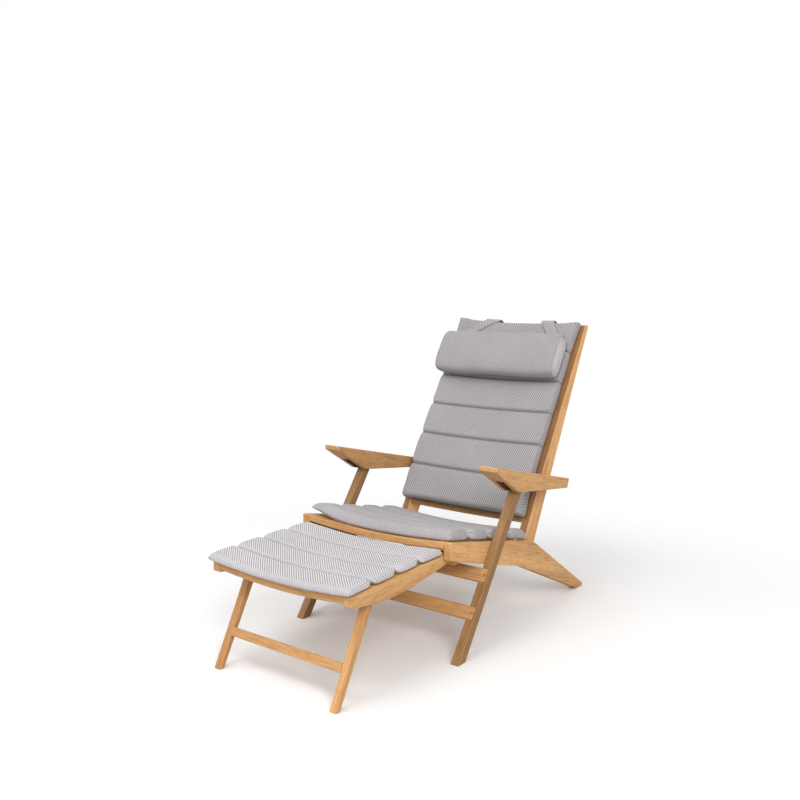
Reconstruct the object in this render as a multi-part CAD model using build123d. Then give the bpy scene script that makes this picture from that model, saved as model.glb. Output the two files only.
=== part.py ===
from build123d import *
import os
from math import asin, atan2, cos, degrees, hypot, radians, sin, sqrt, tan

# Reclining wooden deck chair with a pull-out footrest, cushions and a head pillow.
# Lengths are in millimetres and angles in degrees. X runs across the chair, Y from front to rear, Z up.
# While the pieces are drawn, Y is zero at the front edge of a front leg's foot and Z is zero on the floor.

# General sizes
skin_gap = 0.3
glue_gap = 0.05
running_gap = 0.05
washer_gap = 0.2
overrun = 40.0
edge_round = 2.5
slat_edge_round = 2.0

# Side planks: each is one bent board from the seat's front down to the rear foot
plank_inner_face = 253.5
plank_thickness = 28.0
plank_front_y = 4.0
plank_front_top_z = 345.2
plank_front_bottom_z = 292.8
plank_bend_y = 469.7
plank_bend_z = 247.1
plank_bend_round = 100.0
plank_foot_front_y = 798.4
plank_foot_rear_y = 857.8
plank_foot_round = 7.0
plank_kink_y = 397.0
plank_kink_z = 180.6
plank_kink_round = 60.0
plank_nose_round = 4.0

# Seat boards between the planks
seat_dish = 13.0
seat_slat_drop = 0.3
seat_rail_length = 40.0
seat_rail_thickness = 20.0
seat_slat_count = 5
seat_slat_length = 55.0
seat_slat_thickness = 16.0
seat_slats_front_y = 60.0
seat_slats_rear_y = 408.0
rear_rail_front_y = 392.0
rear_rail_length = 18.0
rear_rail_bottom_z = 190.0
rear_rail_height = 34.0

# Front legs and their stretchers
leg_gap = 1.0
leg_thickness = 27.5
leg_depth = 30.0
leg_lean = 35.2
leg_pivot_y = 205.0
leg_pivot_z = 268.0
leg_top_gap = 2.1
stretcher_thickness = 16.0
stretcher_end_step = 7.0
upper_stretcher_low = 248.0
upper_stretcher_height = 40.0
lower_stretcher_low = 134.0
lower_stretcher_height = 38.0
plug_radius = 4.5
plug_depth = 5.0
plug_proud = 0.3
plug_hole_proud = 4.0

# Back frame
upright_outer_face = 252.0
upright_thickness = 27.0
back_pivot_y = 479.0
back_pivot_z = 200.0
upright_foot_depth = 70.0
upright_foot_reach = 35.0
upright_foot_round = 33.0
upright_bend_y = 601.0
upright_bend_z = 480.0
upright_bend_round = 600.0
upright_top_front_y = 882.0
upright_top_depth = 23.0
upright_top_z = 922.0
upright_top_round = 8.0
upright_foot_lean = 30.1
back_dish = 10.0
back_slat_drop = 1.0
back_slat_count = 13
back_slat_length = 31.0
back_slat_thickness = 12.0
back_rail_length = 38.0
lower_rail_z = 295.0
top_rail_end_gap = 6.0

# Armrests
arm_inner_face = 265.0
arm_width = 63.0
arm_front_y = 161.5
arm_front_top_z = 537.2
arm_front_bottom_z = 522.5
arm_belly_y = 296.0
arm_belly_z = 440.5
arm_belly_round = 22.0
arm_rear_bottom_y = 612.0
arm_rear_bottom_z = 400.0
arm_rear_top_y = 624.0
arm_rear_top_z = 430.0
arm_corner_round = 4.0
arm_edge_round = 3.0
arm_pivot_y = 600.0
arm_pivot_z = 418.0
arm_groove_side_gap = 0.9
arm_groove_roof = 40.0
arm_groove_rear_y = 360.0
arm_groove_front_y = 205.0
arm_groove_round = 8.0

# Pivot bolts
bolt_radius = 5.0
bolt_head_radius = 8.5
bolt_head_thickness = 3.5
bolt_collar_radius = 11.0
bolt_blind_depth = 18.0

# Footrest frame
footrest_side_gap = 2.0
footrest_rail_thickness = 25.5
footrest_front_y = -387.0
footrest_front_top_z = 294.5
footrest_front_bottom_z = 264.0
footrest_belly_front_y = -262.0
footrest_belly_front_z = 247.5
footrest_belly_rear_y = -150.0
footrest_belly_rear_z = 250.0
footrest_belly_round = 350.0
footrest_rear_y = 90.0
footrest_rear_bottom_z = 285.0
footrest_rear_top_z = 306.0
footrest_nose_round = 7.0
footrest_dish = 12.0
footrest_slat_drop = 1.2
footrest_rail_length = 34.0
footrest_front_rail_thickness = 22.0
footrest_slat_count = 4
footrest_slat_length = 60.0
footrest_slat_thickness = 13.0
footrest_slats_front_y = -330.0
footrest_slats_rear_y = 4.0
footrest_rear_rail_y = 16.0
support_rail_front_y = 56.0
support_rail_length = 30.0
support_rail_height = 16.0

# Footrest legs
footrest_leg_side_gap = 1.5
footrest_leg_thickness = 24.0
footrest_leg_pivot_y = -271.5
footrest_leg_pivot_z = 262.0
footrest_leg_foot_front_y = -416.0
footrest_leg_foot_rear_y = -400.5
footrest_leg_top_depth = 23.0
footrest_leg_top_reach = 12.0
footrest_leg_top_round = 11.0
footrest_leg_front_lean = 26.7
footrest_stretcher_bottom_z = 85.0
footrest_stretcher_top_z = 107.0
footrest_stretcher_thickness = 12.0
footrest_bolt_radius = 4.0

# Cushions: crown is the thickness in a panel's middle, channel the thickness along a sewn channel
seat_cushion_inset = 16.5
seat_cushion_front_y = 15.0
seat_cushion_rear_y = 460.0
seat_cushion_crown = 32.0
seat_cushion_channel = 22.0
seat_cushion_panels = 4
back_cushion_inset = 3.0
back_cushion_low_z = 311.0
back_cushion_end_gap = 2.0
back_cushion_crown = 35.0
back_cushion_channel = 24.0
back_cushion_panels = 6
footrest_cushion_overhang = 5.5
footrest_cushion_front_y = -405.0
footrest_cushion_rear_y = 1.5
footrest_cushion_crown = 21.0
footrest_cushion_channel = 14.0
footrest_cushion_panels = 4
cushion_draw_in = 4.0
cushion_corner_round = 14.0
cushion_end_round = 7.0
cushion_end_trim = 1.0
cushion_side_round = 7.0

# Head pillow and its straps
pillow_overhang = 11.0
pillow_height = 165.0
pillow_thickness = 68.0
pillow_drop = 100.5
pillow_back_lift = 2.4
pillow_end_draw_in = 9.0
pillow_end_length = 16.0
strap_thickness = 2.0
strap_rear_length = 130.0
strap_round = 6.0
strap_tuck = 16.0
left_strap_low_x = 150.0
left_strap_high_x = 125.5
right_strap_low_x = -187.0
right_strap_high_x = -130.0
strap_width = 48.0


# Shared building steps

def side_board(corners, x_low, width):
    """Board cut to a side-view outline; each corner is its Y, its Z and its rounding."""
    places = [(y, z) for y, z, rounding in corners]
    roundings = [rounding for y, z, rounding in corners]
    outline = make_face(FilletPolyline(*places, radius=roundings, close=True))
    return Pos(x_low, 0, 0) * extrude(Plane.YZ * outline, amount=width)


def ease_sides(board, rounding):
    """Round the long edges all round a board's two flat sides."""
    return fillet(board.faces().filter_by(Axis.X).edges(), rounding)


def along_x(radius, x_low, x_high, y, z):
    """Round bar along X between two places."""
    return Pos((x_low + x_high) / 2, y, z) * Rot(0, 90, 0) * Cylinder(radius, x_high - x_low)


def block(x_low, x_high, y_low, y_high, z_low, z_high):
    """Square-edged block between two corners."""
    centre = Pos((x_low + x_high) / 2, (y_low + y_high) / 2, (z_low + z_high) / 2)
    return centre * Box(x_high - x_low, y_high - y_low, z_high - z_low)


def dished_board(half_width, dish, thickness, length):
    """Cross board with its upper face dipping by dish at mid-width, its ends level with Z zero."""
    upper = ThreePointArc((-half_width, 0), (0, -dish), (half_width, 0))
    lower = ThreePointArc((half_width, -thickness), (0, -dish - thickness), (-half_width, -thickness))
    ends = Line(upper @ 1, lower @ 0) + Line(lower @ 1, upper @ 0)
    board = extrude(Plane.XZ * make_face(upper + lower + ends), amount=length / 2, both=True)
    return fillet(board.edges().filter_by(GeomType.CIRCLE), slat_edge_round)


def dish_radius(half_width, dish):
    """Radius of the arc that dips by dish over twice half_width."""
    return (half_width ** 2 + dish ** 2) / (2 * dish)


def quilted_side(length, panels, crown, channel, base_drop, base_bend, floor):
    """Side-view outline of a cushion: one arched panel after another over its underside.
    The underside starts base_drop lower at Y zero and is straight from base_bend on."""
    def base(y):
        return floor - base_drop * max(0, 1 - y / base_bend)
    pitch = length / panels
    start = (cushion_end_round, base(cushion_end_round))
    start_top = (cushion_end_round, base(cushion_end_round) + channel)
    end = (length - cushion_end_round, floor)
    end_top = (length - cushion_end_round, floor + channel)
    edges = ThreePointArc(start, (0, (start[1] + start_top[1]) / 2), start_top)
    last = start_top
    for panel in range(panels):
        middle_y = (panel + 0.5) * pitch
        top_y = (panel + 1) * pitch
        step = (top_y, base(top_y) + channel) if panel < panels - 1 else end_top
        edges += ThreePointArc(last, (middle_y, base(middle_y) + crown), step)
        last = step
    edges += ThreePointArc(end_top, (length, (end[1] + end_top[1]) / 2), end)
    bend = (base_bend, floor)
    if base_drop > 0:
        edges += Line(end, bend) + Line(bend, start)
    else:
        edges += Line(end, start)
    return make_face(edges)


def quilted_plan(half_width, length, panels):
    """Plan outline of a cushion: its sides are drawn in where a channel is sewn."""
    pitch = length / panels
    waist = half_width - cushion_draw_in
    ends = [cushion_end_trim] + [n * pitch for n in range(1, panels)] + [length - cushion_end_trim]
    edges = Line((-waist, ends[0]), (waist, ends[0]))
    for low, high in zip(ends, ends[1:]):
        edges += ThreePointArc((waist, low), (half_width, (low + high) / 2), (waist, high))
    edges += Line((waist, ends[-1]), (-waist, ends[-1]))
    for high, low in zip(ends[::-1], ends[-2::-1]):
        edges += ThreePointArc((-waist, high), (-half_width, (low + high) / 2), (-waist, low))
    plan = make_face(edges)
    corners = plan.vertices().sort_by(Axis.Y)
    return fillet(corners[:2] + corners[-2:], cushion_corner_round)


def round_sided_section(half_width, radius, centre_z, thickness):
    """Cross-section that rounds a dished cushion's sides; it passes above the crown and below the underside."""
    middle = centre_z - sqrt(radius ** 2 - half_width ** 2) + thickness / 2
    curve = ((thickness / 2) ** 2 + cushion_side_round ** 2) / (2 * cushion_side_round)
    side_x = half_width + cushion_draw_in / 2
    rise = (curve + thickness / 2) / 2
    edge_x = side_x - curve + sqrt(curve ** 2 - rise ** 2)
    far = rise + overrun
    right = ThreePointArc((edge_x, middle - rise), (side_x, middle), (edge_x, middle + rise))
    left = ThreePointArc((-edge_x, middle + rise), (-side_x, middle), (-edge_x, middle - rise))
    over = Polyline(right @ 1, (edge_x - overrun, middle + far), (overrun - edge_x, middle + far), left @ 0)
    under = Polyline(left @ 1, (overrun - edge_x, middle - far), (edge_x - overrun, middle - far), right @ 0)
    return make_face(right + over + left + under)


def quilted_cushion(half_width, length, panels, crown, channel, board_half_width, dish, base_drop, base_bend):
    """Cushion on dished boards: arched panels between sewn channels, with drawn-in, round sides.
    It lies along Y from zero, and its underside clears boards whose ends are level with Z zero."""
    radius = dish_radius(board_half_width, dish)
    centre_z = radius - dish
    under = radius - skin_gap
    sweep = 2 * degrees(asin((half_width + overrun) / radius))
    side = quilted_side(length, panels, crown, channel, base_drop, base_bend, centre_z - under)
    axis = Axis((0, 0, centre_z), (0, 1, 0))
    body = revolve((Plane.YZ * side).rotate(axis, -sweep / 2), axis, revolution_arc=sweep)
    plan = extrude(quilted_plan(half_width, length, panels), amount=radius / 2, both=True)
    band = round_sided_section(half_width, under, centre_z, crown)
    across = extrude(Plane.XZ * band, amount=2 * length, both=True)
    return body & plan & across


def one_solid(shape):
    """The single solid in a shape that a cut or join leaves wrapped."""
    return shape.solids()[0] if len(shape.solids()) == 1 else shape


# Places that several pieces share

plank_outer_face = plank_inner_face + plank_thickness
seat_slope = degrees(atan2(plank_front_top_z - plank_bend_z, plank_bend_y - plank_front_y))
leg_inner_face = plank_outer_face + leg_gap
leg_outer_face = leg_inner_face + leg_thickness
leg_middle = leg_inner_face + leg_thickness / 2
upright_inner_face = upright_outer_face - upright_thickness
upright_top_rear_y = upright_top_front_y + upright_top_depth
arm_slope = degrees(atan2(arm_front_top_z - arm_rear_top_z, arm_rear_top_y - arm_front_y))
footrest_outer_face = plank_inner_face - footrest_side_gap
footrest_inner_face = footrest_outer_face - footrest_rail_thickness
footrest_length = footrest_rear_y - footrest_front_y
footrest_slope = degrees(atan2(footrest_rear_top_z - footrest_front_top_z, footrest_length))
footrest_leg_outer_face = footrest_inner_face - footrest_leg_side_gap
footrest_leg_inner_face = footrest_leg_outer_face - footrest_leg_thickness
seat_cushion_half_width = plank_outer_face - seat_cushion_inset
back_cushion_half_width = upright_outer_face - back_cushion_inset
footrest_cushion_half_width = footrest_outer_face + footrest_cushion_overhang
pillow_half_width = back_cushion_half_width + pillow_overhang
pillow_centre_z = upright_top_z - pillow_drop
back_lean = degrees(atan2(upright_top_z - upright_bend_z, upright_top_front_y - upright_bend_y))


def plank_top(y):
    """Height of the planks' upper edge over the seat."""
    return plank_front_top_z - (y - plank_front_y) * tan(radians(seat_slope))


def footrest_top(y):
    """Height of the footrest rails' upper edge."""
    return footrest_front_top_z + (y - footrest_front_y) * tan(radians(footrest_slope))


def footrest_underside(y):
    """Height of the footrest rails' lower edge behind the belly."""
    rise = footrest_rear_bottom_z - footrest_belly_rear_z
    return footrest_belly_rear_z + rise * (y - footrest_belly_rear_y) / (footrest_rear_y - footrest_belly_rear_y)


def arm_top(y):
    """Height of the armrests' upper face."""
    return arm_front_top_z - (y - arm_front_y) * tan(radians(arm_slope))


def upright_foot():
    """The uprights' two lower corners, either side of the back pivot."""
    lean = radians(upright_foot_lean)
    low_y = back_pivot_y - upright_foot_reach * sin(lean)
    low_z = back_pivot_z - upright_foot_reach * cos(lean)
    half = upright_foot_depth / 2
    front = (low_y - half * cos(lean), low_z + half * sin(lean))
    rear = (low_y + half * cos(lean), low_z - half * sin(lean))
    return front, rear


def upright_front(z):
    """Y of the uprights' front edge at a height."""
    if z >= upright_bend_z:
        share = (z - upright_bend_z) / (upright_top_z - upright_bend_z)
        return upright_bend_y + share * (upright_top_front_y - upright_bend_y)
    front, rear = upright_foot()
    share = (z - front[1]) / (upright_bend_z - front[1])
    return front[0] + share * (upright_bend_y - front[0])


def on_back(z, ahead):
    """Placement on the uprights' front edge at height z, ahead of it by a distance: Y up the back, Z out of it."""
    front, rear = upright_foot()
    low_angle = degrees(atan2(upright_bend_z - front[1], upright_bend_y - front[0]))
    angle = back_lean if z >= upright_bend_z else low_angle
    y = upright_front(z) - ahead * sin(radians(angle))
    return Pos(0, y, z + ahead * cos(radians(angle))) * Rot(angle, 0, 0)


def leg_top_reach():
    """Length of a front leg above its pivot; its round top stops just under the roof of the armrest's groove."""
    lean = radians(leg_lean)
    slope = radians(arm_slope)
    room = arm_top(leg_pivot_y) - arm_groove_roof - leg_pivot_z
    middle = (room - (leg_depth / 2 + leg_top_gap) / cos(slope)) / (cos(lean) + sin(lean) * tan(slope))
    return middle + leg_depth / 2


def leg_place(reach, depth):
    """Y and Z of a point on a front leg: reach up from the foot along its front edge, depth behind that edge."""
    lean = radians(leg_lean)
    foot_y = leg_pivot_y - leg_pivot_z * tan(lean) - leg_depth / 2 / cos(lean)
    return (foot_y + reach * sin(lean) + depth * cos(lean), reach * cos(lean) - depth * sin(lean))


# Seat frame

def side_plank(side):
    """Bent side board that carries the seat and ends in the rear foot."""
    corners = [
        (plank_front_y, plank_front_top_z, plank_nose_round),
        (plank_bend_y, plank_bend_z, plank_bend_round),
        (plank_foot_rear_y, 0, plank_foot_round),
        (plank_foot_front_y, 0, 0),
        (plank_kink_y, plank_kink_z, plank_kink_round),
        (plank_front_y, plank_front_bottom_z, plank_nose_round),
    ]
    board = ease_sides(side_board(corners, plank_inner_face, plank_thickness), edge_round)
    inside = plank_inner_face - overrun
    board -= along_x(bolt_radius + glue_gap, inside, plank_outer_face + overrun, leg_pivot_y, leg_pivot_z)
    blind = plank_inner_face + bolt_blind_depth + washer_gap
    board -= along_x(bolt_radius + running_gap, inside, blind, back_pivot_y, back_pivot_z)
    return board if side > 0 else mirror(board, Plane.YZ)


def seat_board(y, length, thickness):
    """Dished board between the planks, its upper face just under their top edges."""
    board = dished_board(plank_inner_face, seat_dish, thickness, length)
    return Pos(0, y, plank_top(y) - seat_slat_drop) * Rot(-seat_slope, 0, 0) * board


def seat_front_rail():
    """First board of the seat, at the planks' front ends."""
    return seat_board(plank_front_y + seat_rail_length / 2 + slat_edge_round, seat_rail_length, seat_rail_thickness)


def seat_slats():
    """The boards behind the front rail, evenly spaced."""
    first = seat_slats_front_y + seat_slat_length / 2
    last = seat_slats_rear_y - seat_slat_length / 2
    step = (last - first) / (seat_slat_count - 1)
    return [seat_board(first + n * step, seat_slat_length, seat_slat_thickness) for n in range(seat_slat_count)]


def seat_rear_rail():
    """Straight rail between the planks, in front of the uprights' lower ends."""
    rear = rear_rail_front_y + rear_rail_length
    top = rear_rail_bottom_z + rear_rail_height
    rail = block(-plank_inner_face, plank_inner_face, rear_rail_front_y, rear, rear_rail_bottom_z, top)
    return fillet(rail.edges().filter_by(Axis.X), slat_edge_round)


def footrest_support_rail():
    """Rail between the planks on which the footrest's rear ends lie."""
    rear = support_rail_front_y + support_rail_length
    top = footrest_underside(support_rail_front_y) - skin_gap
    rail = block(-plank_inner_face, plank_inner_face, support_rail_front_y, rear, top - support_rail_height, top)
    return fillet(rail.edges().filter_by(Axis.X), slat_edge_round)


def leg_pivot_bolt(side):
    """Bolt on which a front leg turns: head inside the plank, collar between plank and leg."""
    head = plank_inner_face - bolt_head_thickness
    tip = leg_inner_face + bolt_blind_depth
    bolt = along_x(bolt_radius, plank_inner_face, tip, leg_pivot_y, leg_pivot_z)
    bolt += along_x(bolt_head_radius, head, plank_inner_face, leg_pivot_y, leg_pivot_z)
    collar_low = plank_outer_face + washer_gap
    collar_high = leg_inner_face - washer_gap
    bolt += along_x(bolt_collar_radius, collar_low, collar_high, leg_pivot_y, leg_pivot_z)
    return bolt if side > 0 else mirror(bolt, Plane.YZ)


def seat_cushion():
    """Seat pad in four panels, on the boards and on the planks' top edges."""
    slope = cos(radians(seat_slope))
    length = (seat_cushion_rear_y - seat_cushion_front_y) / slope
    pad = quilted_cushion(seat_cushion_half_width, length, seat_cushion_panels, seat_cushion_crown,
                          seat_cushion_channel, plank_inner_face, seat_dish, 0, length)
    front = Pos(0, seat_cushion_front_y, plank_top(seat_cushion_front_y))
    return front * Rot(-seat_slope, 0, 0) * pad


# Front legs

def stretcher_span():
    """Half the length of the stretchers, which stop short of the legs' outer faces."""
    return leg_outer_face - stretcher_end_step


def stretcher_block(low, height, half_length, depth):
    """Bar along X flush with the legs' front edges, from low up along the leg."""
    corners = [leg_place(low, 0) + (0,), leg_place(low + height, 0) + (0,)]
    corners += [leg_place(low + height, depth) + (0,), leg_place(low, depth) + (0,)]
    return side_board(corners, -half_length, 2 * half_length)


def plug_places():
    """X, reach up the leg and side of each screw plug."""
    reaches = [upper_stretcher_low + upper_stretcher_height / 2, lower_stretcher_low + lower_stretcher_height / 2]
    return [(side * leg_middle, reach) for side in (1, -1) for reach in reaches]


def plug(x, reach, radius, proud):
    """Round plug let into a stretcher's front face."""
    length = plug_depth + proud
    y, z = leg_place(reach, plug_depth - length / 2)
    return Pos(x, y, z) * Rot(90 - leg_lean, 0, 0) * Cylinder(radius, length)


def stretcher(low, height):
    """Bar let into both legs' front faces, with its plug holes."""
    bar = stretcher_block(low, height, stretcher_span(), stretcher_thickness)
    bar = fillet(bar.edges().filter_by(Axis.X), slat_edge_round)
    for x, reach in plug_places():
        if low < reach < low + height:
            bar -= plug(x, reach, plug_radius + glue_gap, plug_hole_proud)
    return bar


def stretcher_plugs():
    """The four screw plugs, one solid each."""
    return Compound([one_solid(plug(x, reach, plug_radius, plug_proud)) for x, reach in plug_places()])


def front_leg(side):
    """Leaning leg with a round top under the armrest and housings for the stretchers."""
    top = leg_place(0, 0)
    lean = radians(leg_lean)
    pivot_reach = leg_pivot_z / cos(lean) + leg_depth / 2 * tan(lean)
    top_reach = pivot_reach + leg_top_reach()
    foot_rear = (top[0] + leg_depth / cos(lean), 0)
    corners = [
        leg_place(0, 0) + (0,),
        leg_place(top_reach, 0) + (leg_depth / 2 - glue_gap,),
        leg_place(top_reach, leg_depth) + (leg_depth / 2 - glue_gap,),
        foot_rear + (0,),
    ]
    leg = ease_sides(side_board(corners, leg_inner_face, leg_thickness), edge_round)
    depth = stretcher_thickness + glue_gap
    for low, height in ((upper_stretcher_low, upper_stretcher_height), (lower_stretcher_low, lower_stretcher_height)):
        housing = stretcher_block(low - glue_gap, height + 2 * glue_gap, stretcher_span() + glue_gap, depth)
        leg -= housing
    blind = leg_inner_face + bolt_blind_depth + washer_gap
    leg -= along_x(bolt_radius + running_gap, leg_inner_face - overrun, blind, leg_pivot_y, leg_pivot_z)
    return leg if side > 0 else mirror(leg, Plane.YZ)


# Back

def back_upright(side):
    """Tapering, slightly bent upright, round about the pivot at its foot."""
    front, rear = upright_foot()
    corners = [
        front + (upright_foot_round,),
        (upright_bend_y, upright_bend_z, upright_bend_round),
        (upright_top_front_y, upright_top_z, upright_top_round),
        (upright_top_rear_y, upright_top_z, upright_top_round),
        rear + (upright_foot_round,),
    ]
    board = ease_sides(side_board(corners, upright_inner_face, upright_thickness), edge_round)
    inside = upright_inner_face - overrun
    outside = upright_outer_face + overrun
    board -= along_x(bolt_radius + running_gap, inside, outside, back_pivot_y, back_pivot_z)
    board -= along_x(bolt_radius + running_gap, inside, outside, arm_pivot_y, arm_pivot_z)
    return board if side > 0 else mirror(board, Plane.YZ)


def back_pivot_bolt(side):
    """Bolt between an upright and its plank, with a collar between the two."""
    head = upright_inner_face - washer_gap
    bolt = along_x(bolt_radius, head, plank_inner_face + bolt_blind_depth, back_pivot_y, back_pivot_z)
    bolt += along_x(bolt_head_radius, head - bolt_head_thickness, head, back_pivot_y, back_pivot_z)
    collar_low = upright_outer_face + washer_gap
    collar_high = plank_inner_face - washer_gap
    bolt += along_x(bolt_collar_radius, collar_low, collar_high, back_pivot_y, back_pivot_z)
    return bolt if side > 0 else mirror(bolt, Plane.YZ)


def back_board(z, length):
    """Dished board between the uprights, its front face just behind their front edges."""
    board = dished_board(upright_inner_face, back_dish, back_slat_thickness, length)
    return on_back(z, -back_slat_drop) * board


def lower_rail_middle():
    """Height at the middle of the lower rail."""
    return lower_rail_z + back_rail_length / 2 * cos(radians(upright_foot_lean))


def top_rail_middle():
    """Height at the middle of the top rail."""
    return upright_top_z - (top_rail_end_gap + back_rail_length / 2) * sin(radians(back_lean))


def back_slats():
    """The boards between the two rails, evenly spaced."""
    low = lower_rail_middle()
    step = (top_rail_middle() - low) / (back_slat_count + 1)
    return [back_board(low + (n + 1) * step, back_slat_length) for n in range(back_slat_count)]


def back_cushion():
    """Back pad in six panels, following the uprights' bend."""
    low_y = upright_front(back_cushion_low_z)
    low_part = hypot(upright_bend_y - low_y, upright_bend_z - back_cushion_low_z)
    high_part = hypot(upright_top_front_y - upright_bend_y, upright_top_z - upright_bend_z)
    length = low_part + high_part - back_cushion_end_gap
    front, rear = upright_foot()
    low_angle = degrees(atan2(upright_bend_z - front[1], upright_bend_y - front[0]))
    drop = low_part * sin(radians(low_angle - back_lean))
    pad = quilted_cushion(back_cushion_half_width, length, back_cushion_panels, back_cushion_crown,
                          back_cushion_channel, upright_inner_face, back_dish, drop, low_part)
    return on_back(upright_bend_z, skin_gap) * Pos(0, -low_part, 0) * pad


def pillow_section(scale_share):
    """Oval section of the pillow, taller along the back than it is thick."""
    return scale(Ellipse(pillow_height / 2, pillow_thickness / 2), by=scale_share)


def pillow_ahead():
    """Distance from the uprights' front edge to the pillow's middle."""
    return back_cushion_crown + pillow_back_lift + pillow_thickness / 2


def head_pillow():
    """Long oval pillow with drawn-in ends."""
    end_share = 1 - 2 * pillow_end_draw_in / pillow_thickness
    inner = pillow_half_width - pillow_end_length
    places = [(-pillow_half_width, end_share), (-inner, 1), (inner, 1), (pillow_half_width, end_share)]
    sections = [Plane.YZ.offset(x) * pillow_section(share) for x, share in places]
    return pillow_frame() * loft(sections, ruled=True)


def pillow_frame():
    """Placement of the pillow's middle on the back: Y up the back, Z out of it."""
    ahead = pillow_ahead()
    base_z = pillow_centre_z - ahead * cos(radians(back_lean))
    return on_back(base_z, ahead)


def strap_lane(places, depth_low, depth_high):
    """Straight-sided lane that a strap keeps to: each place is its X and its Y up the back."""
    half = strap_width / 2
    sides = [(x - half, y) for x, y in places] + [(x + half, y) for x, y in reversed(places)]
    lane = extrude(make_face(Polyline(*sides, close=True)), amount=depth_high - depth_low)
    return Pos(0, 0, depth_low) * lane


def pillow_strap(low_x, high_x):
    """Flat strap from behind the pillow, over the top of the back and down behind the boards."""
    outer_share = (max(abs(low_x), abs(high_x)) + strap_width / 2) / upright_inner_face
    crown = back_cushion_crown + 2 * skin_gap - back_dish * (1 - outer_share ** 2)
    behind = -back_slat_drop - back_dish - back_slat_thickness - skin_gap
    base_z = pillow_centre_z - pillow_ahead() * cos(radians(back_lean))
    pillow_top = pillow_height / 2 - strap_tuck
    end = (upright_top_z - base_z) / sin(radians(back_lean)) + 2 * skin_gap
    rear_low = end - strap_rear_length
    t = strap_thickness
    corners = [
        (pillow_top, crown + t, 0),
        (end + t, crown + t, strap_round + t),
        (end + t, behind - t, strap_round + t),
        (rear_low, behind - t, 0),
        (rear_low, behind, 0),
        (end, behind, strap_round),
        (end, crown, strap_round),
        (pillow_top, crown, 0),
    ]
    reach = max(abs(low_x), abs(high_x)) + strap_width
    band = side_board(corners, -reach, 2 * reach)
    past = end + overrun
    front = strap_lane([(low_x, pillow_top), (high_x, end), (high_x, past)], 0, overrun + crown)
    rear = strap_lane([(high_x, rear_low - overrun), (high_x, past)], behind - overrun, 0)
    return on_back(base_z, 0) * one_solid((band & front) + (band & rear))


# Armrests

def arm_groove():
    """Groove under an armrest for the front leg's round top; its roof is parallel to the arm's upper face."""
    half = leg_thickness / 2 + arm_groove_side_gap
    corners = [
        (arm_groove_front_y, arm_top(arm_groove_front_y) - arm_groove_roof, 0),
        (arm_groove_rear_y, arm_top(arm_groove_rear_y) - arm_groove_roof, 0),
        (arm_groove_rear_y, arm_rear_bottom_z - overrun, 0),
        (arm_groove_front_y, arm_rear_bottom_z - overrun, 0),
    ]
    groove = side_board(corners, leg_middle - half, 2 * half)
    return fillet(groove.edges().filter_by(Axis.Z), arm_groove_round)


def armrest(side):
    """Wedge-shaped armrest, deepest over the front leg."""
    corners = [
        (arm_front_y, arm_front_top_z, arm_corner_round),
        (arm_rear_top_y, arm_rear_top_z, arm_corner_round),
        (arm_rear_bottom_y, arm_rear_bottom_z, arm_corner_round),
        (arm_belly_y, arm_belly_z, arm_belly_round),
        (arm_front_y, arm_front_bottom_z, arm_corner_round),
    ]
    arm = ease_sides(side_board(corners, arm_inner_face, arm_width), arm_edge_round)
    arm -= arm_groove()
    blind = arm_inner_face + bolt_blind_depth + washer_gap
    arm -= along_x(bolt_radius + running_gap, arm_inner_face - overrun, blind, arm_pivot_y, arm_pivot_z)
    return arm if side > 0 else mirror(arm, Plane.YZ)


def arm_pivot_bolt(side):
    """Bolt through an upright into its armrest, with a collar in the space between."""
    head = upright_inner_face - washer_gap
    bolt = along_x(bolt_radius, head, arm_inner_face + bolt_blind_depth, arm_pivot_y, arm_pivot_z)
    bolt += along_x(bolt_head_radius, head - bolt_head_thickness, head, arm_pivot_y, arm_pivot_z)
    collar_low = upright_outer_face + washer_gap
    collar_high = arm_inner_face - washer_gap
    bolt += along_x(bolt_collar_radius, collar_low, collar_high, arm_pivot_y, arm_pivot_z)
    return bolt if side > 0 else mirror(bolt, Plane.YZ)


# Footrest

def footrest_rail(side):
    """Side rail, deepest where its leg is bolted."""
    corners = [
        (footrest_front_y, footrest_front_top_z, footrest_nose_round),
        (footrest_rear_y, footrest_rear_top_z, edge_round),
        (footrest_rear_y, footrest_rear_bottom_z, edge_round),
        (footrest_belly_rear_y, footrest_belly_rear_z, footrest_belly_round),
        (footrest_belly_front_y, footrest_belly_front_z, footrest_belly_round),
        (footrest_front_y, footrest_front_bottom_z, footrest_nose_round),
    ]
    rail = ease_sides(side_board(corners, footrest_inner_face, footrest_rail_thickness), edge_round - glue_gap)
    blind = footrest_inner_face + bolt_blind_depth
    inside = footrest_inner_face - overrun
    hole = footrest_bolt_radius + glue_gap
    rail -= along_x(hole, inside, blind, footrest_leg_pivot_y, footrest_leg_pivot_z)
    return rail if side > 0 else mirror(rail, Plane.YZ)


def footrest_board(y, length, thickness):
    """Dished board between the footrest's rails."""
    board = dished_board(footrest_inner_face, footrest_dish, thickness, length)
    return Pos(0, y, footrest_top(y) - footrest_slat_drop) * Rot(footrest_slope, 0, 0) * board


def footrest_front_rail():
    """Cross board between the rails' front ends."""
    y = footrest_front_y + footrest_rail_length / 2 + edge_round
    return footrest_board(y, footrest_rail_length, footrest_front_rail_thickness)


def footrest_rear_rail():
    """Last cross board of the footrest, under the seat."""
    y = footrest_rear_rail_y + footrest_rail_length / 2
    return footrest_board(y, footrest_rail_length, footrest_slat_thickness)


def footrest_slats():
    """The boards between the footrest's cross rails, evenly spaced."""
    first = footrest_slats_front_y + footrest_slat_length / 2
    last = footrest_slats_rear_y - footrest_slat_length / 2
    step = (last - first) / (footrest_slat_count - 1)
    places = [first + n * step for n in range(footrest_slat_count)]
    return [footrest_board(y, footrest_slat_length, footrest_slat_thickness) for y in places]


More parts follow.
